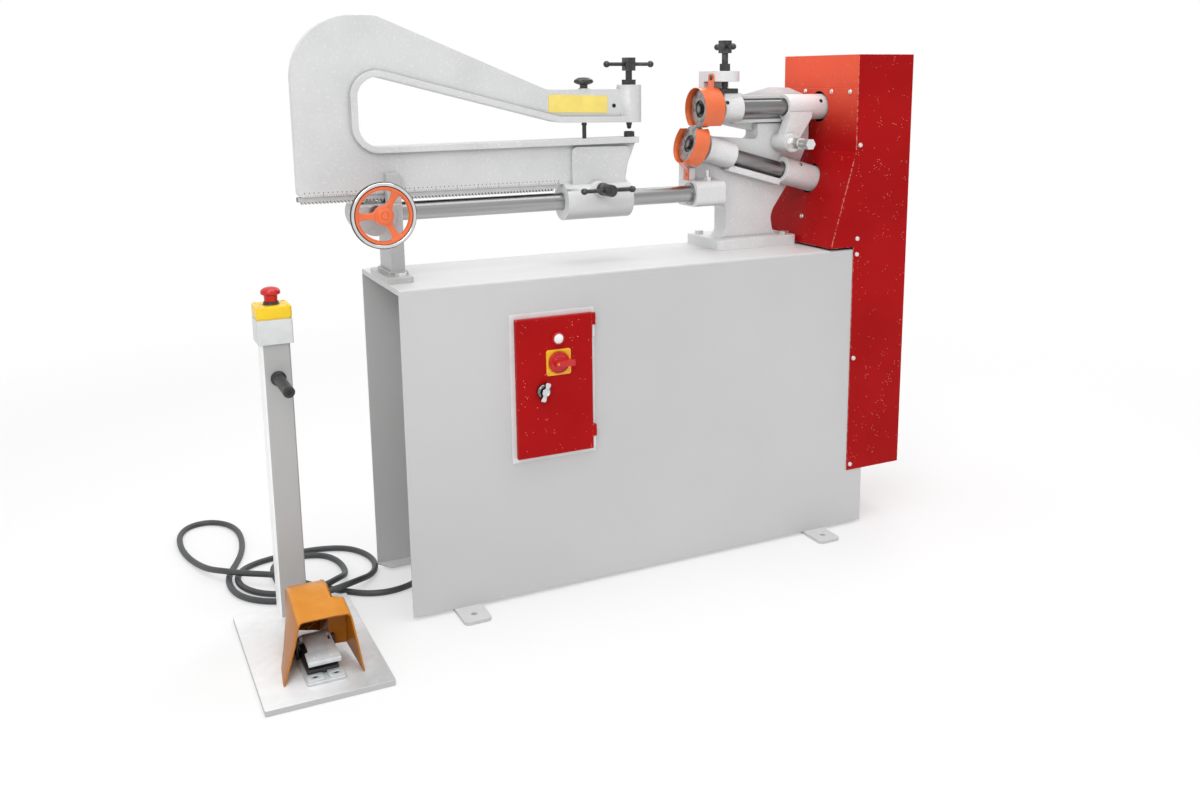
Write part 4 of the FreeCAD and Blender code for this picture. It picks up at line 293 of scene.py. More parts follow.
def red_enamel():
    """Red enamel: painted light, warm and lighter, high on its left faces; painted glints as small
    light dots; paint wearing bright along the folds.
    """
    paint = Paint(
        "RedEnamel", (0.4, 0.006, 0.008), rough=0.34, coat=0.02, coat_rough=0.12, soft=0.0015)
    paint.set("Specular IOR Level", 0.06)
    edge_sheen_and_wear = paint.edges(0.0016)
    height = paint.axes()[2]
    leftward = paint.facing()[0]
    # Painted light: faces high up that look left are painted a lighter, warmer red.
    painted_light_patch = height.over(1.02, 1.23) * leftward.over(-0.3, -0.8)
    tone = paint.clouds(0.2)
    face = paint.mix(tone, (0.36, 0.004, 0.005), (0.42, 0.006, 0.007))
    warm = paint.mix(painted_light_patch, face, (0.84, 0.115, 0.058))
    # Painted glints: small light dots.
    glint_specks = paint.cells(0.0064).over(0.17, 0.12) * (paint.noise(0.03) > 0.56)
    flakes = edge_sheen_and_wear * paint.noise(0.006, 3.0).over(0.42, 0.56)
    # Painted glints together with real paint wear along the folds.
    bare = (glint_specks * 0.6 + flakes * 0.85).over(0.0, 0.9)
    paint.tint(bare, warm, (1.0, 0.5, 0.38))
    paint.bump(paint.noise(0.0028), 0.22, 0.0006)
    paint.bump(glint_specks, 0.5, 0.0005)
    paint.set("Roughness", 0.28 + paint.noise(0.02, 3.0) * 0.12)
    return paint


def orange_enamel():
    paint = Paint(
        "OrangeEnamel", (0.8, 0.145, 0.032), rough=0.28, coat=0.5, coat_rough=0.1, soft=0.0015)
    varied(paint, 0.05, 0.08)
    paint.bump(paint.noise(0.004), 0.2, 0.0005)
    return paint


def amber_paint():
    """Amber enamel over a pressed hood, with painted highlights along its edges and painted shade
    on its walls.
    """
    paint = Paint(
        "AmberHoodPaint", (0.58, 0.2, 0.022), rough=0.36, coat=0.06, coat_rough=0.2, soft=0.002)
    paint.set("Specular IOR Level", 0.2)
    edge_sheen_and_wear = paint.edges(0.0016)
    tone = paint.clouds(0.05)
    upward = paint.facing()[2]
    face = paint.mix(tone, (0.68, 0.25, 0.026), (0.76, 0.31, 0.042))
    # Painted shade: faces that do not look up are painted darker.
    painted_side_shade = paint.mix(upward.over(0.7, 0.3), face, (0.42, 0.135, 0.008))
    # Painted highlight: edges are painted lighter.
    paint.tint(edge_sheen_and_wear * 0.75, painted_side_shade, (0.92, 0.47, 0.12))
    paint.bump(paint.noise(0.006, 3.0), 0.3, 0.0008)
    return paint


def ground_steel(name="GroundSteel", depth=1.0):
    """Ground bar: long soft streaks along it, and painted light and shade: darker above, lighter
    below.
    """
    paint = Paint(name, grey(0.42), rough=0.27, metal=1.0)
    streaks = paint.noise(0.009, 1.0, (0.015, 1, 1)).over(0.3, 0.7)
    fine = paint.noise(0.0016, 2.0, (1, 0.02, 0.02))
    blots = paint.noise(0.06, 3.0)
    upward = paint.facing()[2]
    # Painted light and shade: the top is painted darker and the underside lighter; depth makes
    # darker painted copies.
    tone = paint.mix(upward.over(-0.8, 0.8), grey(0.52 * depth), grey(0.3 * depth))
    paint.tint(streaks * 0.4, tone, grey(0.16 * depth))
    paint.set("Roughness", 0.24 + fine * 0.06 + blots * 0.05)
    paint.bump(fine, 0.03, 0.0002)
    return paint


def tool_steel():
    """Hardened disc steel, clouded and scratched."""
    paint = Paint("ToolSteel", grey(0.3), rough=0.3, metal=1.0, soft=0.0008)
    blots = paint.clouds(0.014, 4.0)
    scratches = paint.noise(0.004, 2.0, (1, 1, 0.08)).over(0.5, 0.7)
    wear = blots * 0.7 + scratches * 0.3
    paint.tint(wear, (0.17, 0.168, 0.165), (0.5, 0.49, 0.48))
    paint.set("Roughness", 0.26 + blots * 0.2)
    return paint


def black_steel():
    paint = Paint("BlackenedSteel", (0.035, 0.036, 0.04), rough=0.38, metal=0.7, soft=0.001)
    wear = paint.noise(0.012, 4.0).over(0.52, 0.75)
    paint.tint(wear, (0.028, 0.029, 0.032), (0.12, 0.12, 0.125))
    paint.set("Roughness", 0.34 + paint.noise(0.006) * 0.2)
    paint.bump(paint.noise(0.002), 0.15, 0.0002)
    return paint


def zinc_plating():
    """Bright zinc on screws and bolts; the lock nut high on the head is oiled black."""
    paint = Paint("ZincPlatedScrew", (0.66, 0.65, 0.63), rough=0.28, metal=0.85, soft=0.0008)
    x, _, z = paint.axes()
    blots = paint.noise(0.006, 3.0)
    plated = paint.mix(blots, (0.6, 0.6, 0.59), (0.82, 0.81, 0.78))
    nut = (z > 1.185) * (x > 0.2) * (x < 0.4)
    paint.tint(nut, plated, grey(0.07))
    return paint


def stand_finish():
    """Grey paint on the post, painted light on its left face; a zinc coated floor plate, clouded,
    with painted shade at its front right and on its edge faces, and painted highlights along its
    edges.
    """
    paint = Paint("StandPaintAndZinc", (0.5, 0.5, 0.49), rough=0.32, soft=0.002)
    edge_sheen_and_wear = paint.edges(0.0016)
    x, y, z = paint.axes()
    leftward, _, upward = paint.facing()
    up_post = z.over(PLATE_TOP - 0.0002, PLATE_TOP + 0.0006)
    spangle = paint.node("ShaderNodeRGBToBW", {}, {0: paint.cells(0.016, "Color")})
    clouds = paint.noise(0.1, 4.0)
    # Painted shade: patches at the plate's front right are painted darker.
    painted_shade_patches = (x * 1.4 - y * 0.8 + clouds * 0.24).over(-0.84, -0.6) * 0.65
    plate = paint.mix(painted_shade_patches + spangle * 0.12, (0.97, 0.975, 0.98), (0.33, 0.335, 0.34))
    # Painted shade: the plate's edge faces are painted darker.
    rim = paint.mix(upward.over(0.6, 0.3), plate, grey(0.5))
    # Painted highlight: edges are painted near white.
    bright = paint.mix(edge_sheen_and_wear * 0.8, rim, grey(0.95))
    streaks = paint.noise(0.12, 2.0, (1, 1, 0.3))
    post = paint.mix(streaks, (0.43, 0.43, 0.428), (0.49, 0.49, 0.487))
    lit_post = paint.mix(leftward < -0.5, post, grey(0.98))
    paint.tint(up_post, bright, lit_post)
    paint.set("Metallic", 0.12 - up_post * 0.12)
    paint.set("Roughness", 0.34 + spangle * 0.1 * (1 - up_post) + clouds * 0.08)
    paint.bump(paint.noise(0.004), 0.15, 0.0005)
    return paint


def plastic(name, colour, rough, grain=0.0012):
    paint = Paint(name, colour, rough=rough, soft=0.0012)
    varied(paint, 0.03, 0.05)
    paint.bump(paint.noise(grain), 0.2, 0.0002)
    return paint


def dark_chrome():
    paint = Paint("DarkChrome", (0.2, 0.2, 0.205), rough=0.16, metal=1.0)
    blots = paint.noise(0.008)
    paint.tint(blots, (0.07, 0.07, 0.072), grey(0.34))
    return paint


def dark_steel():
    """Oiled turned steel, brighter where hands wear it, with painted highlights along its edges."""
    paint = Paint("OiledSteel", grey(0.1), rough=0.36, metal=0.55)
    wear = paint.noise(0.01, 4.0).over(0.45, 0.75)
    edge_sheen_and_wear = paint.edges(0.0012)
    # Real wear, with painted highlights along the edges.
    bare = wear * 0.5 + edge_sheen_and_wear * 0.4
    paint.tint(bare, (0.045, 0.045, 0.047), grey(0.16))
    paint.set("Roughness", 0.3 + paint.noise(0.005) * 0.16)
    paint.bump(paint.noise(0.0015), 0.15, 0.0002)
    return paint


def rule_steel():
    """A bare steel rule: a dot each 10 mm, ticks each 5 mm below, longer ones each 50 mm."""
    paint = Paint("GraduatedRule", grey(0.62), rough=0.4, metal=0.15)
    dot_height, tick_top, long_top = 0.9592, 0.9545, 0.9572
    x, _, z = paint.axes()

    def from_mark(step):
        """Distance along the rule from the middle of each step."""
        return (((x + 2.0) / step).fraction() - 0.5) * step

    along = from_mark(0.01)
    up = z - dot_height
    dots = (along * along + up * up).root().over(0.0016, 0.001)
    fine = from_mark(0.005).size().over(0.0005, 0.0003) * (z < tick_top)
    long = from_mark(0.05).size().over(0.0006, 0.0004) * (z < long_top)
    marks = (dots + fine + long).over(0.2, 0.6)
    edge_sheen_and_wear = paint.noise(0.03, 3.0)
    bare = paint.mix(edge_sheen_and_wear, grey(0.6), grey(0.7))
    paint.tint(marks * 0.85, bare, grey(0.05))
    return paint


def rack_steel():
    """Light milled faces; painted shade fills the tooth sides and the gaps between the teeth."""
    paint = Paint("RackSteel", grey(0.5), rough=0.38, metal=0.15)
    x, _, z = paint.facing()
    # Painted shade: tooth sides and faces that look down are painted near black.
    painted_gap_shade = (x.size().over(0.25, 0.45) + (z < -0.4)).over(0.2, 0.6)
    spots = paint.noise(0.012, 3.0)
    face = paint.mix(spots, grey(0.46), grey(0.6))
    paint.tint(painted_gap_shade, face, grey(0.008))
    return paint


def chrome():
    """Polished plating with painted reflections: light where it faces front or back, dark where it
    turns away.
    """
    paint = Paint("PolishedChrome", grey(0.5), rough=0.12, metal=1.0, soft=0.0008)
    towards = paint.facing()[1]
    # Painted reflection: light where the plating faces front or back, near black elsewhere.
    front = (towards.size() + paint.noise(0.03) * 0.2).over(0.62, 1.02)
    paint.tint(front, grey(0.05), grey(0.66))
    paint.set("Roughness", 0.1 + paint.noise(0.01) * 0.08)
    return paint


def cast_alloy():
    paint = Paint("CastAlloy", (0.45, 0.46, 0.47), rough=0.42, metal=0.15, soft=0.001)
    edge_sheen_and_wear = paint.edges(0.0012)
    blots = paint.noise(0.015, 4.0)
    skin = paint.mix(blots, (0.46, 0.485, 0.495), (0.7, 0.725, 0.735))
    # Painted highlight: edges are painted near white.
    paint.tint(edge_sheen_and_wear * 0.6, skin, grey(0.95))
    paint.set("Roughness", 0.36 + blots * 0.16)
    paint.bump(paint.noise(0.0015, 3.0), 0.3, 0.0003)
    return paint


def machined_iron():
    paint = Paint("MachinedIron", grey(0.16), rough=0.42, metal=0.85, soft=0.0008)
    blots = paint.noise(0.01, 4.0)
    paint.tint(blots, grey(0.12), grey(0.26))
    return paint


def bronze():
    paint = Paint("TurnedBronze", (0.3, 0.26, 0.21), rough=0.34, metal=0.9)
    paint.bump(paint.noise(0.001), 0.15, 0.0002)
    paint.set("Roughness", 0.28 + paint.noise(0.01) * 0.12)
    return paint


def cord_sheath():
    paint = Paint("CordSheath", (0.06, 0.062, 0.065), rough=0.46)
    tone = paint.noise(0.05, 3.0)
    dust = paint.noise(0.004, 3.0).over(0.55, 0.8)
    face = paint.mix(tone, (0.036, 0.038, 0.04), (0.06, 0.062, 0.065))
    paint.tint(dust * 0.4, face, grey(0.13))
    paint.bump(paint.noise(0.003), 0.15, 0.0003)
    return paint


GREY = sheet_grey()
# Painted shade: the frame's copy of the casting paint is a little darker.
CAST = casting_grey(depth=0.93)
RED = red_enamel()
ORANGE = orange_enamel()
AMBER = amber_paint()
STEEL = ground_steel()
DISC_STEEL = tool_steel()
BLACK_STEEL = black_steel()
ZINC = zinc_plating()
STAND = stand_finish()
CHROME = chrome()
ALLOY = cast_alloy()
IRON = machined_iron()
BRONZE = bronze()
SHEATH = cord_sheath()
GREY_PLASTIC = plastic("GreyPlastic", (0.7, 0.71, 0.71), 0.42)
BLACK_PLASTIC = plastic("BlackPlastic", (0.025, 0.025, 0.027), 0.4)
RED_PLASTIC = plastic("RedPlastic", (0.56, 0.012, 0.016), 0.28)
BLACK_RUBBER = plastic("BlackRubber", (0.022, 0.022, 0.024), 0.5, 0.002)
MOTOR_PAINT = plastic("MotorPaint", (0.1, 0.14, 0.18), 0.42, 0.003)
YELLOW_FILM = plastic("YellowPlate", (0.9, 0.72, 0.17), 0.4)
YELLOW_PLASTIC = plastic("YellowPlastic", (0.9, 0.6, 0.012), 0.34)
LENS = plastic("WhiteLens", grey(0.86), 0.16)
DARK_CHROME = dark_chrome()
DARK_STEEL = dark_steel()
# Painted shade: the oil holes and the frame hole are painted near black.
HOLE_SHADE_BLACK = plastic("PaintedHoleShade", grey(0.006), 0.7)
BOX_GREY = plastic("ControlBoxPaint", (0.74, 0.745, 0.75), 0.36, 0.003)
SWITCH_YELLOW = plastic("SwitchYellow", (0.88, 0.46, 0.014), 0.34)
# Painted shade: the shafts are the guide bar's steel, painted darker.
SHADED_SHAFT_STEEL = ground_steel("ShaftSteelShaded", 0.68)
# Painted light and shade: a lighter copy of the casting paint for the head and arm, a darker one
# for the bar bracket.
LIT_HEAD_PAINT = casting_grey("HeadPaintLit", 1.06)
SHADED_BRACKET_PAINT = casting_grey("BracketPaintShaded", 0.72)
RULE = rule_steel()
RACK = rack_steel()

# Solids that stay in sight; the others get theirs with the pieces that replace them
FINISHES = {
    GREY: "front_panel back_panel top_plate floor_feet",
    LIT_HEAD_PAINT: "head_casting upper_arm",
    SHADED_BRACKET_PAINT: "bar_bracket",
    RED: "belt_cover shaft_cover_panel control_door",
    ORANGE: "disc_guards",
    STEEL: "guide_bar pinion",
    SHADED_SHAFT_STEEL: "upper_shaft lower_shaft",
    DISC_STEEL: "upper_disc lower_disc",
    DARK_STEEL: "spindle_nut clamp_spindle clamp_bar stay_screw keeper_plate arm_screw "
                "arm_screw_bar thrust_pad upper_disc_nut lower_disc_nut anvil",
    RACK: "rack",
    ZINC: "cover_screws frame_bolts",
    STAND: "station_stand",
    IRON: "upper_gear lower_gear upper_pulley motor_pulley",
    BRONZE: "upper_bushes lower_bushes",
    GREY_PLASTIC: "stop_box",
    BOX_GREY: "control_box",
    BLACK_PLASTIC: "control_gear cord_glands",
    BLACK_RUBBER: "drive_belt",
    MOTOR_PAINT: "gear_motor",
}
for finish, names in FINISHES.items():
    for name in names.split():
        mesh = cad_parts[name].data
        mesh.materials.clear()
        mesh.materials.append(finish.material)


# Tools for shaping pieces by hand: add, pick, cut, move, bevel, spin, carve and finish

def put_down():
    """Leaves edit mode with nothing selected."""
    if bpy.context.object and bpy.context.object.mode != "OBJECT":
        bpy.ops.object.mode_set(mode="OBJECT")
    bpy.ops.object.select_all(action="DESELECT")


def take_up(piece):
    put_down()
    piece.select_set(True)
    bpy.context.view_layer.objects.active = piece


def removed(piece):
    take_up(piece)
    bpy.ops.object.delete()


def settle(name):
    """Gives the object in hand its name, and its place to its mesh."""
    piece = bpy.context.object
    piece.name = name
    piece.data.name = name
    bpy.ops.object.transform_apply()
    return piece


def box(name, low, high):
    put_down()
    middle = [(a + b) / 2 for a, b in zip(low, high)]
    size = [b - a for a, b in zip(low, high)]
    bpy.ops.mesh.primitive_cube_add(size=1, location=middle, scale=size)
    return settle(name)


FACING = {"x": (0, math.pi / 2, 0), "y": (math.pi / 2, 0, 0), "z": (0, 0, 0)}


def drum(name, middle, radius, length, along="z", sides=48):
    put_down()
    bpy.ops.mesh.primitive_cylinder_add(
        vertices=sides, radius=radius, depth=length, location=middle, rotation=FACING[along])
    return settle(name)


def pick(piece, kind, wanted):
    """Edit mode with the corners, edges or faces selected whose middle the test wants."""
    take_up(piece)
    bpy.ops.object.mode_set(mode="EDIT")
    bpy.ops.mesh.select_mode(type=kind)
    bpy.ops.mesh.select_all(action="DESELECT")
    bpy.ops.object.mode_set(mode="OBJECT")
    mesh = piece.data
    if kind == "VERT":
        for corner in mesh.vertices:
            corner.select = bool(wanted(corner.co))
    elif kind == "EDGE":
        for edge in mesh.edges:
            first, second = (mesh.vertices[i].co for i in edge.vertices)
            edge.select = bool(wanted((first + second) / 2, second - first))
    else:
        for face in mesh.polygons:
            face.select = bool(wanted(face.center, face.normal))
    bpy.ops.object.mode_set(mode="EDIT")


def cut(piece, along, *places):
    """Cuts the whole piece across an axis, at places along it."""
    way = Vector(axis == along for axis in "xyz")
    for place in places:
        take_up(piece)
        bpy.ops.object.mode_set(mode="EDIT")
        bpy.ops.mesh.select_all(action="SELECT")
        bpy.ops.mesh.bisect(plane_co=way * place, plane_no=way)
    put_down()


def shift(piece, wanted, by):
    pick(piece, "VERT", wanted)
    bpy.ops.transform.translate(value=by)
    put_down()


def stretch(piece, wanted, by, about):
    """Moves the picked corners away from a point by factors along x, y and z."""
    pick(piece, "VERT", wanted)
    bpy.ops.transform.resize(value=by, center_override=about)
    put_down()


def round_off(piece, wanted, size, steps=3):
    """Bevels the picked edges."""
    pick(piece, "EDGE", wanted)
    bpy.ops.mesh.bevel(offset=size, segments=steps, affect="EDGES", profile=0.5)
    put_down()


def turned(name, line, middle, along="z", steps=64):
    """Spins (radius, height) corners, in millimetres, about an axis through the middle."""
    line = [(radius / 1000, height / 1000) for radius, height in line]
    put_down()
    bpy.ops.mesh.primitive_plane_add(size=0.001)
    piece = settle(name)
    pick(piece, "VERT", lambda at: at.x > 0 or at.y > 0)
    bpy.ops.mesh.delete(type="VERT")
    pick(piece, "VERT", lambda at: True)
    start = piece.data.vertices[0].co
    bpy.ops.transform.translate(value=Vector((line[0][0], 0, line[0][1])) - start)
    for last, (radius, height) in zip(line, line[1:]):
        step = (radius - last[0], 0, height - last[1])
        bpy.ops.mesh.extrude_region_move(TRANSFORM_OT_translate={"value": step})
    bpy.ops.mesh.select_all(action="SELECT")
    bpy.ops.mesh.spin(steps=steps, angle=math.tau, axis=(0, 0, 1))
    bpy.ops.mesh.select_all(action="SELECT")
    bpy.ops.mesh.remove_doubles(threshold=MERGE)
    bpy.ops.mesh.normals_make_consistent()
    take_up(piece)
    piece.rotation_euler = FACING[along]
    piece.location = middle
    bpy.ops.object.transform_apply()
    return piece


def swung(piece, name, turns, axis, about):
    """Copies turned by so many degrees about an axis through a point; the piece itself goes."""
    copies = []
    for degrees in turns:
        take_up(piece)
        bpy.ops.object.duplicate()
        swing = Matrix.Rotation(math.radians(degrees), 4, axis)
        copy = bpy.context.object
        copy.matrix_world = Matrix.Translation(about) @ swing @ Matrix.Translation(-about)
        copies.append(settle(name))
    removed(piece)
    return copies


def joined(name, *pieces):
    put_down()
    for piece in pieces:
        piece.select_set(True)
    bpy.context.view_layer.objects.active = pieces[0]
    bpy.ops.object.join()
    whole = bpy.context.object
    whole.name = name
    whole.data.name = name
    return whole


def worked(piece, kind, **settings):
    """Adds a modifier and applies it."""
    take_up(piece)
    tool = piece.modifiers.new(kind.title(), kind)
    for name, value in settings.items():
        setattr(tool, name, value)
    bpy.ops.object.modifier_apply(modifier=tool.name)


def carved(piece, *cutters):
    """Takes the cutters away from the piece."""
    for cutter in cutters:
        worked(piece, "BOOLEAN", operation="DIFFERENCE", solver="EXACT", object=cutter)
        removed(cutter)


def finished(piece, finish, body, nodes=(), edge=0.0, angle=35):
    """Smooth shading, a small bevel, the finish, and the body it rides on."""
    if edge:
        worked(piece, "BEVEL", width=edge, segments=2, limit_method="ANGLE",
               angle_limit=math.radians(angle))
    take_up(piece)
    bpy.ops.object.shade_smooth_by_angle(angle=math.radians(angle))
    piece.data.materials.clear()
    piece.data.materials.append(finish.material)
    put_down()
    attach(piece, body)
    if nodes:
        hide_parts(*nodes)


# Handwheel: chrome rim, and an orange spider with three spokes

def make_handwheel():
    put_down()
    bpy.ops.mesh.primitive_torus_add(
        major_radius=0.0665, minor_radius=0.0053, major_segments=120, minor_segments=20,
        location=WHEEL, rotation=FACING["y"])
    rim = settle("handwheel_rim")
    stretch(rim, lambda at: True, (1, 1.3, 1), WHEEL)
    finished(rim, CHROME, "wheel", ["handwheel"], angle=60)

    ring = turned("handwheel_spider", [
        (61.5, -5.2), (56.2, -5.2), (54.8, -3.8), (53.8, 0), (54.8, 3.8), (56.2, 5.2), (61.5, 5.2)],
        WHEEL, "y", 120)
    hub = turned("hub", [
        (0, 14), (6.2, 14), (6.8, 13.4), (7.4, 12.4), (8.6, 12.4), (9.2, 13.4), (15, 13.4),
        (15.8, 12.8), (16.2, 10.2), (19.6, 9.6), (20.4, 8.6), (21.6, -6), (18, -17.5),
        (17.2, -18), (8.5, -18)], WHEEL, "y", 72)
    inner, outer = 0.016, 0.0555
    low, high = Vector((inner, -0.0042, -0.0068)), Vector((outer, 0.0042, 0.0068))
    spoke = box("spoke", WHEEL + low, WHEEL + high)
    cut(spoke, "x", *[WHEEL.x + at for at in (0.0225, 0.03, 0.04, 0.047, 0.0515)])
    for at, wide in ((inner, 1.6), (0.0225, 1.25), (0.047, 1.12), (0.0515, 1.5), (outer, 2.1)):
        stretch(spoke, lambda spot: abs(spot.x - WHEEL.x - at) < 0.001, (1, 1, wide), WHEEL)
    stretch(spoke, lambda spot: spot.x - WHEEL.x < 0.024, (1, 1.3, 1), WHEEL)
    round_off(spoke, lambda at, way: abs(way.x) > 0.003 and abs(at.z - WHEEL.z) > 0.004, 0.0022)
    spokes = swung(spoke, "spoke", (-180, -59, 62), "Y", WHEEL)
    spider = joined("handwheel_spider", ring, hub, *spokes)
    finished(spider, ORANGE, "wheel", ["handwheel"], angle=40)


# Centre frame: a merged copy of its solid, with a deeper lower jaw and a rounder throat

def eased(value, low, high):
    """0 below low, 1 above high, and smooth between them."""
    share = min(1.0, max(0.0, (value - low) / (high - low)))
    return share * share * (3 - 2 * share)


def make_centre_frame():
    deeper, rounder, belly_rounder = 0.0215, 0.0085, 0.003
    casting = placed("centre_frame_casting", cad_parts["c_frame"].data.copy())
    take_up(casting)
    bpy.ops.object.mode_set(mode="EDIT")
    bpy.ops.mesh.select_all(action="SELECT")
    bpy.ops.mesh.remove_doubles(threshold=MERGE)
    bpy.ops.mesh.dissolve_limited(angle_limit=0.006)
    put_down()
    for corner in casting.data.vertices:
        x, y, z = corner.co
        inside = 1 - eased(-x, 0.665, 0.745)
        jaw = eased(z, 0.992, 1.02) * (1 - eased(z, 1.08, 1.2)) * inside
        root = eased(-x, 0.47, 0.6) * inside * eased(z, 1.005, 1.03) * (1 - eased(z, 1.235, 1.27))
        belly = eased(z, 1.03, 1.11) * (1 - eased(z, 1.13, 1.21))
        corner.co.z += deeper * min(0.6, max(0.0, -x - 0.01)) * jaw
        corner.co.x -= (rounder + belly_rounder * belly) * root
    finished(casting, CAST, "centre_frame", ["c_frame"], angle=30)
    worked(casting, "WEIGHTED_NORMAL", keep_sharp=True, weight=60)


# Pedal hood: a pressed cover with two long feet, and a narrower neck behind it

def make_hood():
    left, right, front, back = -0.8835, -0.7775, -0.3, -0.128
    foot, waist, crown = PLATE_TOP, 0.075, 0.136
    hood = box("pedal_hood", (left, front, foot), (right, back, crown))
    cut(hood, "y", -0.288, -0.242, -0.237, -0.196, -0.152)
    cut(hood, "x", -0.811)
    cut(hood, "z", waist)
    pick(hood, "FACE", lambda at, way: way.z < -0.9 or way.y < -0.9)
    bpy.ops.mesh.delete(type="FACE")
    for at, height in (
            (front, 0.1245), (-0.288, 0.1272), (-0.242, 0.1365), (-0.237, 0.1378),
            (-0.196, 0.1465), (-0.152, 0.1395), (back, 0.117)):
        shift(hood, lambda spot: abs(spot.y - at) < 0.001 and spot.z > 0.13, (0, 0, height - crown))
    shift(hood, lambda at: at.y > -0.239 and at.x > -0.79, (-0.0335, 0, 0))
    shift(hood, lambda at: at.x > -0.79 and at.z > 0.1 and at.y < -0.24, (0, 0, -0.002))
    # The left wall is a skirt down to the plate, the right one rises behind its foot
    for side, up, rows in (
            (left, foot, (
                (front, -0.926, -0.334, foot), (-0.288, -0.9248, -0.317, foot),
                (-0.242, -0.9175, -0.257, foot), (-0.237, -0.916, -0.25, foot),
                (-0.196, -0.904, -0.2, 0.013), (-0.152, -0.89, -0.158, 0.024),
                (back, -0.8785, -0.131, 0.03))),
            (left, waist, (
                (front, -0.8975, -0.3085, 0.078), (-0.288, -0.8975, -0.2955, 0.078),
                (-0.242, -0.8965, -0.246, 0.078), (-0.237, -0.896, -0.241, 0.078),
                (-0.196, -0.893, -0.198, 0.078), (-0.152, -0.886, -0.154, 0.078),
                (back, -0.8785, -0.128, 0.078))),
            (right, foot, ((front, -0.766, -0.347, foot), (-0.288, -0.7662, -0.33, foot))),
            (right, waist, ((front, -0.772, -0.321, waist), (-0.288, -0.772, -0.309, waist)))):
        for at, *there in rows:
            near = Vector((side, at, up))
            shift(hood, lambda spot: (spot - near).length < 0.003, Vector(there) - near)
    shift(hood, lambda at: at.x > -0.82 and at.z < 0.02 and -0.26 < at.y < -0.236, (0, 0, 0.02))
    shift(hood, lambda at: at.x < -0.86 and at.y > -0.14 and at.z > 0.1, (0.005, 0, 0))
    round_off(hood, lambda at, way: at.z > 0.11 and (
        (abs(way.y) > 0.004 and (at.x < -0.87 or at.x > -0.79 or (at.x > -0.82 and at.y > -0.243)))
        or (at.y > -0.129 and abs(way.x) > 0.004)), 0.0085, 4)
    worked(hood, "SOLIDIFY", thickness=0.0032, offset=-1)
    finished(hood, AMBER, "cabinet", ["pedal_guard"], edge=0.0008, angle=42)


make_handwheel()
make_centre_frame()
make_hood()


# Foot switch: alloy base with two screws, black switch body, alloy tread

def make_foot_switch():
    base = box("pedal_base", (-0.884, -0.3575, PLATE_TOP), (-0.804, -0.221, 0.018))
    round_off(base, lambda at, way: abs(way.z) > 0.003 and at.y < -0.35, 0.007, 4)
    bosses = []
    for left, right, back in ((-0.8815, -0.8475, -0.327), (-0.8385, -0.8065, -0.322)):
        boss = box("boss", (left, -0.3545, 0.0175), (right, back, 0.0225))
        round_off(boss, lambda at, way: abs(way.z) > 0.003, 0.005)
        middle = ((left + right) / 2, -0.341, 0.022)
        hole = drum("hole", middle, 0.0048, 0.012, "z", 24)
        stretch(hole, lambda at: True, (1.5, 0.85, 1), middle)
        carved(boss, hole)
        bosses.append(boss)
    base = joined("pedal_base", base, *bosses)
    finished(base, ALLOY, "cabinet", ["pedal_base"], edge=0.0009)

    body = box("pedal_switch_body", (-0.8765, -0.3255, 0.0178), (-0.8115, -0.2225, 0.04))
    round_off(body, lambda at, way: abs(way.z) > 0.003, 0.004)
    stretch(body, lambda at: at.z > 0.035, (0.94, 0.97, 1), (-0.844, -0.274, 0.04))
    shift(body, lambda at: at.z > 0.035 and at.y < -0.3, (0, 0, -0.0112))
    cheeks = [box("cheek", (left, -0.2505, 0.018), (left + 0.005, -0.2205, 0.0585))
              for left in (-0.8838, -0.8092)]
    for cheek in cheeks:
        round_off(cheek, lambda at, way: abs(way.x) > 0.003 and at.z > 0.05, 0.007, 4)
    pin = drum("pin", PEDAL_PIN, 0.004, 0.076, "x", 24)
    body = joined("pedal_switch_body", body, pin, *cheeks)
    finished(body, BLACK_PLASTIC, "cabinet", ["pedal_base"], edge=0.0008)

    tread = box("pedal", (-0.8755, -0.332, 0.0535), (-0.8095, -0.2225, 0.059))
    cut(tread, "y", -0.297, -0.2935, -0.246)
    shift(tread, lambda at: at.y > -0.2945 and at.x < -0.86, (0.0075, 0, 0))
    shift(tread, lambda at: at.y > -0.2945 and at.x > -0.82, (-0.002, 0, 0))
    for at, drop in ((-0.332, 0.0095), (-0.297, 0.0052), (-0.2935, 0.0048), (-0.246, 0.0)):
        shift(tread, lambda spot: abs(spot.y - at) < 0.001, (0, 0, -drop))
    pick(tread, "FACE", lambda at, way: way.y < -0.9)
    bpy.ops.mesh.extrude_region_move(TRANSFORM_OT_translate={"value": (0, -0.0022, 0.0)})
    bpy.ops.transform.translate(value=(0, 0, -0.0035))
    put_down()
    carved(tread, box("slot", (-0.8205, -0.262, 0.04), (-0.8155, -0.24, 0.07)))
    sleeve = drum("sleeve", PEDAL_PIN, 0.0068, 0.06, "x", 32)
    carved(sleeve, drum("way", PEDAL_PIN, 0.0044, 0.08, "x", 24))
    ribs = [box("rib", (left, -0.3205, 0.0425), (left + 0.003, -0.236, 0.052))
            for left in (-0.862, -0.829)]
    for rib in ribs:
        shift(rib, lambda at: at.y < -0.3 and at.z < 0.045, (0, 0, 0.004))
    tread = joined("pedal", tread, sleeve, *ribs)
    finished(tread, ALLOY, "pedal", ["pedal"], edge=0.0009)
    for index, left in enumerate((-0.8645, -0.8225)):
        screw = turned("pedal_base_screw_%d" % index, [
            (0, 1.2), (1.6, 1.2), (1.8, 2.2), (3.4, 1.8), (4, 0.4), (4, -2), (0, -2)],
            (left, -0.341, 0.0195), "z", 32)
        finished(screw, BLACK_STEEL, "cabinet")


make_foot_switch()


# Control door: signal lamp, main switch with its knob, and the key latch

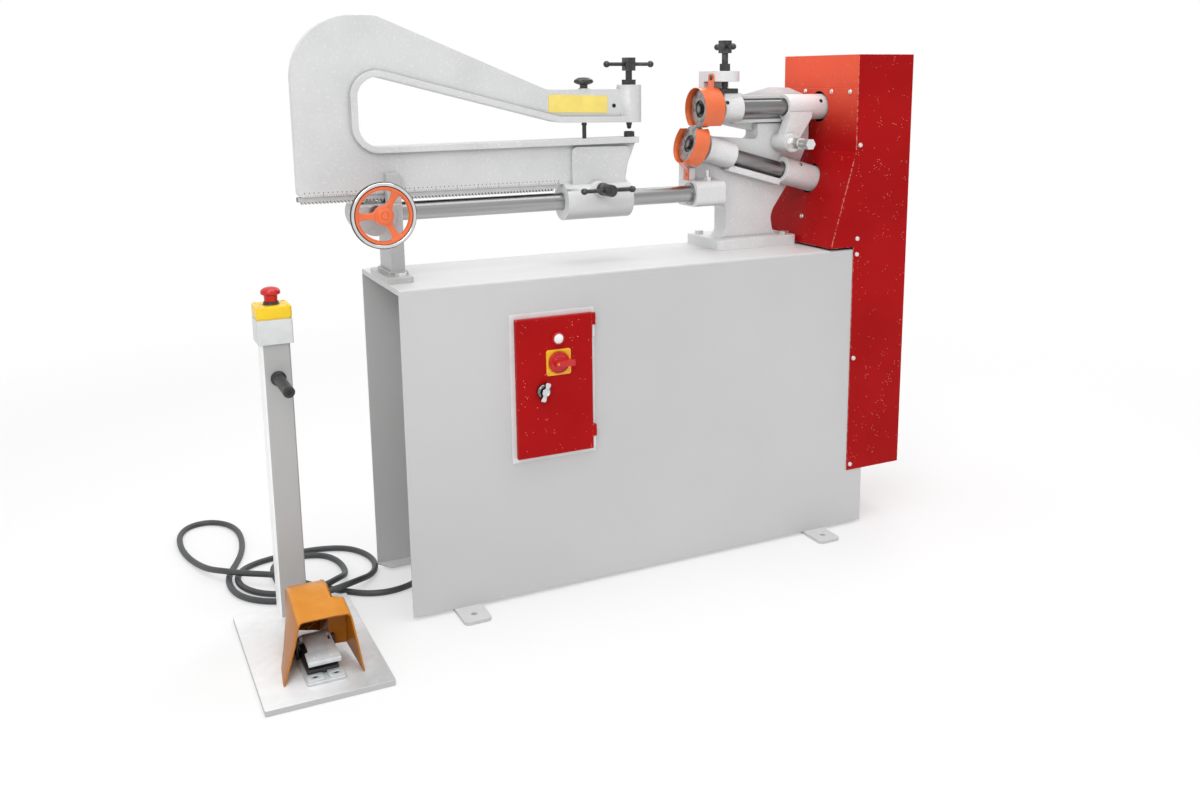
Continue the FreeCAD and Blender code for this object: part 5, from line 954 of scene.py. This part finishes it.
def rounded_plate(name, low, high, corner):
    """A plate that faces the front, with round corners."""
    plate = box(name, low, high)
    round_off(plate, lambda at, way: abs(way.y) > 0.5 * (high[1] - low[1]), corner, 5)
    return plate


def make_signal_lamp():
    bezel = turned("lamp_bezel", [
        (9.6, 1.5), (11.8, 2), (11.8, 6.2), (12.4, 7.2), (13.3, 7.2), (14.1, 6.4), (14.5, 4),
        (15, 3.2), (15, 0), (9.6, 0), (9.6, 1.5)], LAMP, "y", 72)
    finished(bezel, RED_PLASTIC, "door", ["signal_lamp"])
    lens = turned("lamp_lens", [
        (0, 2.2), (11.7, 2.2), (11.7, 5.6), (11, 7.2), (10.6, 7.3), (10.2, 8.2), (8.6, 9.6),
        (6, 10.7), (3, 11.3), (0, 11.5)], LAMP, "y", 72)
    finished(lens, LENS, "door", ["signal_lamp"])
    barrel = turned("lamp_barrel", [
        (0, -34), (9.8, -34), (10.6, -33.2), (10.6, -22), (10.9, -21.5), (10.9, -3.5),
        (13.8, -3.5), (13.8, -2.1), (10.9, -2.1), (9.5, 0), (9.5, 1.8), (0, 1.8)],
        LAMP, "y", 48)
    finished(barrel, BLACK_PLASTIC, "door", ["signal_lamp"])


def make_main_switch():
    x, y, z = SWITCH
    plate = rounded_plate(
        "switch_plate", (x - 0.03, y - 0.004, z - 0.03), (x + 0.03, y, z + 0.03), 0.0055)
    carved(plate, drum("pocket", (x, y - 0.004, z), 0.0262, 0.0012, "y", 72))
    finished(plate, SWITCH_YELLOW, "door", ["main_switch"], edge=0.0009)
    body = rounded_plate(
        "switch_body", (x - 0.023, y + 0.002, z - 0.023), (x + 0.023, y + 0.038, z + 0.023), 0.003)
    for up in (z - 0.0125, z + 0.0125):
        slot = box("slot", (x - 0.03, y + 0.016, up - 0.002), (x + 0.03, y + 0.045, up + 0.002))
        carved(body, slot)
    neck = drum("neck", (x, y + 0.001, z), 0.0089, 0.0066, "y", 32)
    body = joined("switch_body", body, neck)
    finished(body, BLACK_PLASTIC, "door", ["main_switch"], edge=0.0006)
    corner = 0.024
    for index, (across, up) in enumerate(((-1, 1), (1, 1), (-1, -1), (1, -1))):
        dimple = turned("switch_screw_%d" % index, [
            (0, 0.3), (1.3, 0.3), (1.6, 0.8), (2.2, 0.7), (2.5, 0.2), (2.5, -1), (0, -1)],
            (x + corner * across, y - 0.004, z + corner * up), "y", 20)
        finished(dimple, SWITCH_YELLOW, "door")

    front = y - 0.0043
    dial = turned("switch_knob", [
        (0, 0), (24.6, 0), (25, 0.6), (25, 4.2), (24, 6.2), (22.2, 7), (21.4, 6.6), (20.6, 5.6),
        (15, 5.6), (14.2, 6.4), (0, 6.4)], (x, front, z), "y", 96)
    notches, circle = 18, 0.0262
    for index in range(notches):
        turn = math.tau * index / notches
        place = (x + circle * math.cos(turn), front - 0.003, z + circle * math.sin(turn))
        carved(dial, drum("notch", place, 0.0019, 0.012, "y", 12))
    lever = box(
        "lever", (x - 0.015, front - 0.0212, z - 0.0078), (x + 0.032, front - 0.005, z + 0.0078))
    cut(lever, "x", x - 0.004, x + 0.02)
    shift(lever, lambda at: at.x > x + 0.03 and at.y > front - 0.01, (-0.002, -0.0085, 0))
    shift(lever, lambda at: abs(at.x - x - 0.02) < 0.001 and at.y > front - 0.01, (0, -0.0006, 0))
    shift(lever, lambda at: at.x < x - 0.01 and at.y < front - 0.015, (0.0015, 0.0028, 0))
    stretch(lever, lambda at: at.y < front - 0.015, (1, 1, 0.86), (x, front, z))
    round_off(lever, lambda at, way: abs(way.y) > 0.006 and at.x < x - 0.01, 0.0055, 5)
    knob = joined("switch_knob", dial, lever)
    finished(knob, RED_PLASTIC, "knob", ["switch_knob"], edge=0.0007)
    dot = turned("knob_pointer", [
        (0, 0.8), (2, 0.8), (2.6, 0.2), (2.6, -1), (0, -1)],
        (x - 0.0075, front - 0.0195, z), "y", 24)
    finished(dot, YELLOW_PLASTIC, "knob", ["switch_knob"])


def make_latch():
    x, y, z = LATCH
    collar = turned("latch_collar", [
        (8.8, 0.3), (17, 0.3), (17, 4.2), (16, 6.4), (13.4, 9), (11.2, 9.5), (10, 8.9),
        (8.8, 8.9), (8.8, 0.3)], LATCH, "y", 72)
    finished(collar, DARK_CHROME, "latch", ["door_latch"])
    barrel = turned("latch_barrel", [
        (0, -24), (9.2, -24), (9.8, -23.4), (9.8, -7.5), (12.6, -7.5), (12.6, -2.6), (9.8, -2.6),
        (9.8, 0), (0, 0)], LATCH, "y", 48)
    cam = rounded_plate(
        "latch_cam", (x - 0.008, y + 0.02, z - 0.04), (x + 0.008, y + 0.023, z + 0.006), 0.004)
    nut = drum("nut", (x, y + 0.0255, z), 0.0072, 0.005, "y", 6)
    barrel = joined("latch_barrel", barrel, cam, nut)
    finished(barrel, ZINC, "latch", ["door_latch"], edge=0.0004)
    hub = turned("latch_wing", [
        (0, 4), (8.7, 4), (8.7, 9.7), (9.8, 10), (9.8, 17.4), (8.9, 18.8), (7, 18.8), (6, 17.8),
        (0, 17.8)], LATCH, "y", 48)
    blade = box("blade", (x - 0.0046, y - 0.0178, z + 0.004), (x + 0.0046, y - 0.0098, z + 0.0225))
    cut(blade, "z", z + 0.011, z + 0.0165)
    stretch(blade, lambda at: at.z > z + 0.016, (1.4, 1, 1), (x, y, z))
    stretch(blade, lambda at: at.z > z + 0.022, (0.92, 0.8, 1), (x, y - 0.0098, z))
    round_off(blade, lambda at, way: abs(way.y) > 0.004 and at.z > z + 0.022, 0.003, 4)
    wing = joined("latch_wing", hub, *swung(blade, "wing", (19, 199), "Y", LATCH))
    finished(wing, CHROME, "latch", ["door_latch"], edge=0.0009)


# Stop station: yellow lid, black collar, red button with its skirt, and the grip on the post

def make_stop_station():
    x, y, z = STOP
    corner = 0.0295
    lid = box("stop_lid", (x - 0.037, y - 0.037, 0.6962), (x + 0.037, y + 0.037, z))
    round_off(lid, lambda at, way: abs(way.z) > 0.02, 0.0065, 5)
    round_off(lid, lambda at, way: at.z > z - 0.0005, 0.0022)
    cut(lid, "z", 0.6985, 0.6993)
    stretch(lid, lambda at: at.z < 0.699, (0.975, 0.975, 1), (x, y, z))
    for across in (-corner, corner):
        for back in (-corner, corner):
            carved(lid, drum("well", (x + across, y + back, z), 0.0038, 0.009, "z", 28))
    finished(lid, YELLOW_PLASTIC, "cabinet", ["stop_box_lid"], angle=40)
    for index, (across, back) in enumerate(((-1, -1), (1, -1), (-1, 1), (1, 1))):
        screw = turned("lid_screw_%d" % index, [
            (0, 1.2), (1, 1.2), (1.3, 2.2), (2.8, 1.9), (3.4, 0.6), (3.4, 0), (0, 0)],
            (x + corner * across, y + corner * back, z - 0.0044), "z", 24)
        finished(screw, ZINC, "cabinet")
    collar = turned("stop_collar", [
        (14.6, -0.5), (17.2, -0.5), (17.6, 0.8), (17, 2.2), (16, 3.2), (16, 5.8), (15.2, 6.4),
        (14.6, 5.8), (14.6, -0.5)], (x, y, z), "z", 72)
    finished(collar, BLACK_PLASTIC, "cabinet", ["stop_box_lid"])
    button = turned("stop_button", [
        (8, 5), (13.6, 5), (13.8, 7), (14.3, 18), (15.5, 20.5), (19.2, 22.2), (20.6, 23.2),
        (21, 24.6), (20.8, 27.8), (20, 30.6), (18.4, 32.8), (15, 35), (10, 36.8), (5, 37.8),
        (0, 38)], (x, y, z), "z", 96)
    stem = drum("stem", (x, y, z - 0.004), 0.0085, 0.02, "z", 32)
    button = joined("stop_button", button, stem)
    finished(button, RED_PLASTIC, "stop", ["stop_button"], angle=30)

    rows = [(0, 0), (16.5, 0), (16.5, 3.5), (15, 6), (12.8, 8.5), (11.9, 13)]
    for index in range(9):
        start = 20 + 10.2 * index
        rows += [(12.1, start), (11.7, start + 1.2), (11.7, start + 2.2), (12.1, start + 3.4)]
    rows += [
        (12.2, 116), (12.5, 119), (12.5, 124), (11.2, 127.2), (8.5, 128), (5, 127.4), (4.6, 124),
        (0, 124)]
    grip = turned("grip_sleeve", rows, (x, -0.03, 0.565), "y", 56)
    finished(grip, BLACK_RUBBER, "cabinet", ["grip"], angle=30)


# Clamp screw on the collar with its long bar and two balls, and the clamp's turned point

def make_collar_clamp():
    x, z = -0.08, 0.938
    head = turned("collar_clamp_screw", [
        (7.8, 20), (7.8, 53.2), (13.8, 53.4), (15, 54.5), (15, 69), (13.8, 70.2), (11.2, 71.5),
        (11.2, 75.5), (13.2, 76.5), (14.3, 78), (14.3, 108.5), (13.3, 110), (6, 110.1),
        (5.2, 109.4), (0, 109.4)], (x, 0, z), "y", 64)
    carved(head, drum("way", (x, -0.09, z), 0.0056, 0.04, "x", 32))
    finished(head, DARK_STEEL, "collar_clamp", ["collar_screw"], edge=0.0004)
    bar = turned("collar_clamp_bar", [
        (0, -70.5), (3.5, -70), (6.2, -68), (7.4, -65), (7.8, -62.5), (7.4, -59.5), (6, -56.8),
        (4.8, -56), (4.8, 56), (6, 56.8), (7.4, 59.5), (7.8, 62.5), (7.4, 65), (6.2, 68),
        (3.5, 70), (0, 70.5)], (x, -0.09, z), "x", 40)
    finished(bar, DARK_STEEL, "collar_clamp_bar", ["collar_bar"])


def make_clamp_point():
    point = turned("clamp_tip", [
        (0, 1109.5), (6, 1109.5), (7.6, 1108.5), (7.6, 1090.5), (7, 1089.5), (7, 1085),
        (5.6, 1084.2), (5.6, 1079), (5, 1078.2), (2.8, 1075.6), (0, 1075.2)], (0.02, 0, 0), "z", 40)
    finished(point, DARK_STEEL, "point", ["clamp_point"])


# Small things on the castings: blank plate, graduated rule, stay ring, oil holes, guard screws

def make_trim():
    plate = rounded_plate("plate", (-0.1965, -0.0138, 1.117), (-0.0445, -0.0129, 1.158), 0.003)
    [tilted] = swung(plate, "blank_plate", (1.7,), "Y", Vector((-0.1205, -0.0133, 1.1375)))
    finished(tilted, YELLOW_FILM, "centre_frame")
    rule = rounded_plate(
        "graduated_rule", (-0.766, -0.0136, 0.9512), (-0.172, -0.0128, 0.9628), 0.001)
    finished(rule, RULE, "centre_frame")
    ring = turned("stay_ring", [
        (5.4, 0), (6.7, 0.4), (6.7, 4.6), (5.4, 5), (5.4, 0)],
        (-0.1, 0, 1.0868), "z", 40)
    finished(ring, DARK_STEEL, "centre_frame")

    for name, place, tip, body in (
            ("frame_hole", (-0.0267, -0.013, 1.132), 0, "centre_frame"),
            ("arm_oil_hole_0", (0.281, -0.0315, 1.1343), -27, "swing_arm"),
            ("arm_oil_hole_1", (0.568, -0.0292, 1.1343), -25, "swing_arm"),
            ("head_oil_hole_1", (0.512, -0.0238, 0.97), -42, "cabinet")):
        # Painted shade: each hole is a shallow cup painted near black.
        hole = turned("hole", [
            (0, 0.2), (3, 0.2), (3.4, 1), (4.4, 1), (5, 0.2), (5, -3), (0, -3)], place, "y", 32)
        [tipped] = swung(hole, name, (tip,), "X", Vector(place))
        finished(tipped, HOLE_SHADE_BLACK, body)
    for name, place in (
            ("guard_screw_0", (0.2525, 0.003, 1.196)), ("guard_screw_1", (0.198, 0.029, 0.9572))):
        screw = turned(name, [
            (0, -2.2), (2.4, -2.2), (2.6, -4), (5.2, -3.2), (6.4, -1), (6.4, 1), (0, 1)],
            place, "x", 40)
        finished(screw, ZINC, "cabinet")


make_signal_lamp()
make_main_switch()
make_latch()
make_stop_station()
make_collar_clamp()
make_clamp_point()
make_trim()


# Control cord, over the same points as its solid

CORD = [
    (-0.848, 0.044, 0.04), (-0.848, 0.084, 0.04), (-0.849, 0.122, 0.015), (-0.851, 0.16, 0.0075),
    (-0.853, 0.224, 0.0075), (-0.846, 0.272, 0.0075), (-0.81, 0.3, 0.0075), (-0.758, 0.298, 0.0075),
    (-0.716, 0.276, 0.0075), (-0.695, 0.23, 0.0075), (-0.69, 0.178, 0.0075), (-0.698, 0.13, 0.0125),
    (-0.718, 0.092, 0.0255), (-0.757, 0.066, 0.0255), (-0.806, 0.072, 0.0135),
    (-0.864, 0.104, 0.0075), (-0.908, 0.138, 0.0075), (-0.934, 0.188, 0.0075),
    (-0.937, 0.24, 0.0075), (-0.919, 0.284, 0.0075), (-0.88, 0.31, 0.0075), (-0.832, 0.322, 0.0075),
    (-0.778, 0.328, 0.0075), (-0.72, 0.324, 0.0075), (-0.662, 0.302, 0.0075),
    (-0.628, 0.256, 0.0075), (-0.612, 0.196, 0.0075), (-0.621, 0.14, 0.0075),
    (-0.645, 0.094, 0.0135), (-0.682, 0.056, 0.0255), (-0.73, 0.037, 0.0255),
    (-0.79, 0.042, 0.0135), (-0.852, 0.058, 0.0075), (-0.908, 0.088, 0.0075),
    (-0.946, 0.138, 0.0075), (-0.959, 0.202, 0.0075), (-0.952, 0.268, 0.0075),
    (-0.924, 0.332, 0.0075), (-0.902, 0.4, 0.0075), (-0.891, 0.476, 0.0075),
    (-0.892, 0.552, 0.0075), (-0.914, 0.614, 0.0075), (-0.958, 0.649, 0.0075),
    (-1.008, 0.638, 0.0075), (-1.036, 0.586, 0.0075), (-1.041, 0.508, 0.0075),
    (-1.033, 0.436, 0.0075), (-1.014, 0.368, 0.0085), (-0.992, 0.304, 0.0165),
    (-0.962, 0.256, 0.0255), (-0.922, 0.221, 0.0255), (-0.88, 0.192, 0.0265),
    (-0.836, 0.16, 0.0265), (-0.796, 0.124, 0.0125), (-0.757, 0.09, 0.0075),
    (-0.714, 0.044, 0.0075), (-0.672, 0.009, 0.0075), (-0.622, -0.004, 0.0075),
    (-0.566, 0.008, 0.0085), (-0.52, 0.004, 0.034), (-0.491, -0.008, 0.09), (-0.482, -0.025, 0.155),
    (-0.478, -0.045, 0.225), (-0.468, -0.062, 0.29), (-0.454, -0.07, 0.34), (-0.425, -0.073, 0.372),
    (-0.392, -0.073, 0.379), (-0.368, -0.073, 0.379),
]


def lay_cord():
    line = bpy.data.curves.new("control_cord_line", "CURVE")
    line.dimensions = "3D"
    line.bevel_depth = 0.0075
    line.bevel_resolution = 5
    line.resolution_u = 8
    line.use_fill_caps = True
    spline = line.splines.new("NURBS")
    spline.points.add(len(CORD) - 1)
    for point, place in zip(spline.points, CORD):
        point.co = (*place, 1)
    spline.order_u = 3
    spline.use_endpoint_u = True
    cord = placed("control_cord_line", line)
    line.materials.append(SHEATH.material)
    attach(cord, "cabinet")
    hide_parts("control_cord")


lay_cord()


# Floor, backdrop and lights

def light_stage():
    bpy.ops.mesh.primitive_plane_add(size=60, location=(0, 0, -0.0005))
    floor = bpy.context.object
    floor.name = "floor"
    paint = Paint("PaleFloor", grey(0.88), rough=0.9)
    x, y, _ = paint.axes()
    far = ((x + 0.1) * (x + 0.1) + y * y).root().over(1.6, 3.4)
    glow = paint.node("ShaderNodeEmission", {}, {"Color": (1, 1, 1), "Strength": 1.0}, "Emission")
    plain = Amount(paint, paint.shader.outputs[0])
    share = (0.45 + far * 0.55) * paint.direct()
    blend = paint.node("ShaderNodeMixShader", {}, {0: share, 1: plain, 2: glow})
    paint.feed(paint.tree.nodes["Material Output"].inputs["Surface"], blend)
    floor.data.materials.append(paint.material)

    world = bpy.data.worlds.new("Studio")
    scene.world = world
    world.use_nodes = True
    sky = Nodes(world.node_tree)
    level = {"Value": sky.direct(), "To Min": 0.62, "To Max": 1.0}
    back = sky.tree.nodes["Background"]
    sky.feed(back.inputs["Color"], (1, 1, 1))
    sky.feed(back.inputs["Strength"], sky.node("ShaderNodeMapRange", {}, level))

    for name, place, target, size, power in (
            ("KeyLight", (-2.6, -3.4, 3.6), (0, 0, 0.6), 2.4, 75),
            ("RimLight", (2.8, 2.2, 3.2), (0, 0, 0.9), 2.0, 32),
            ("TopLight", (0.0, -0.2, 4.2), (0, 0, 0.4), 3.2, 82)):
        lamp = bpy.data.lights.new(name, "AREA")
        lamp.size = size
        lamp.energy = power
        aim = (Vector(target) - Vector(place)).to_track_quat("-Z", "Y")
        placed(name, lamp).matrix_world = Matrix.Translation(place) @ aim.to_matrix().to_4x4()


light_stage()
scene.view_settings.view_transform = "Standard"
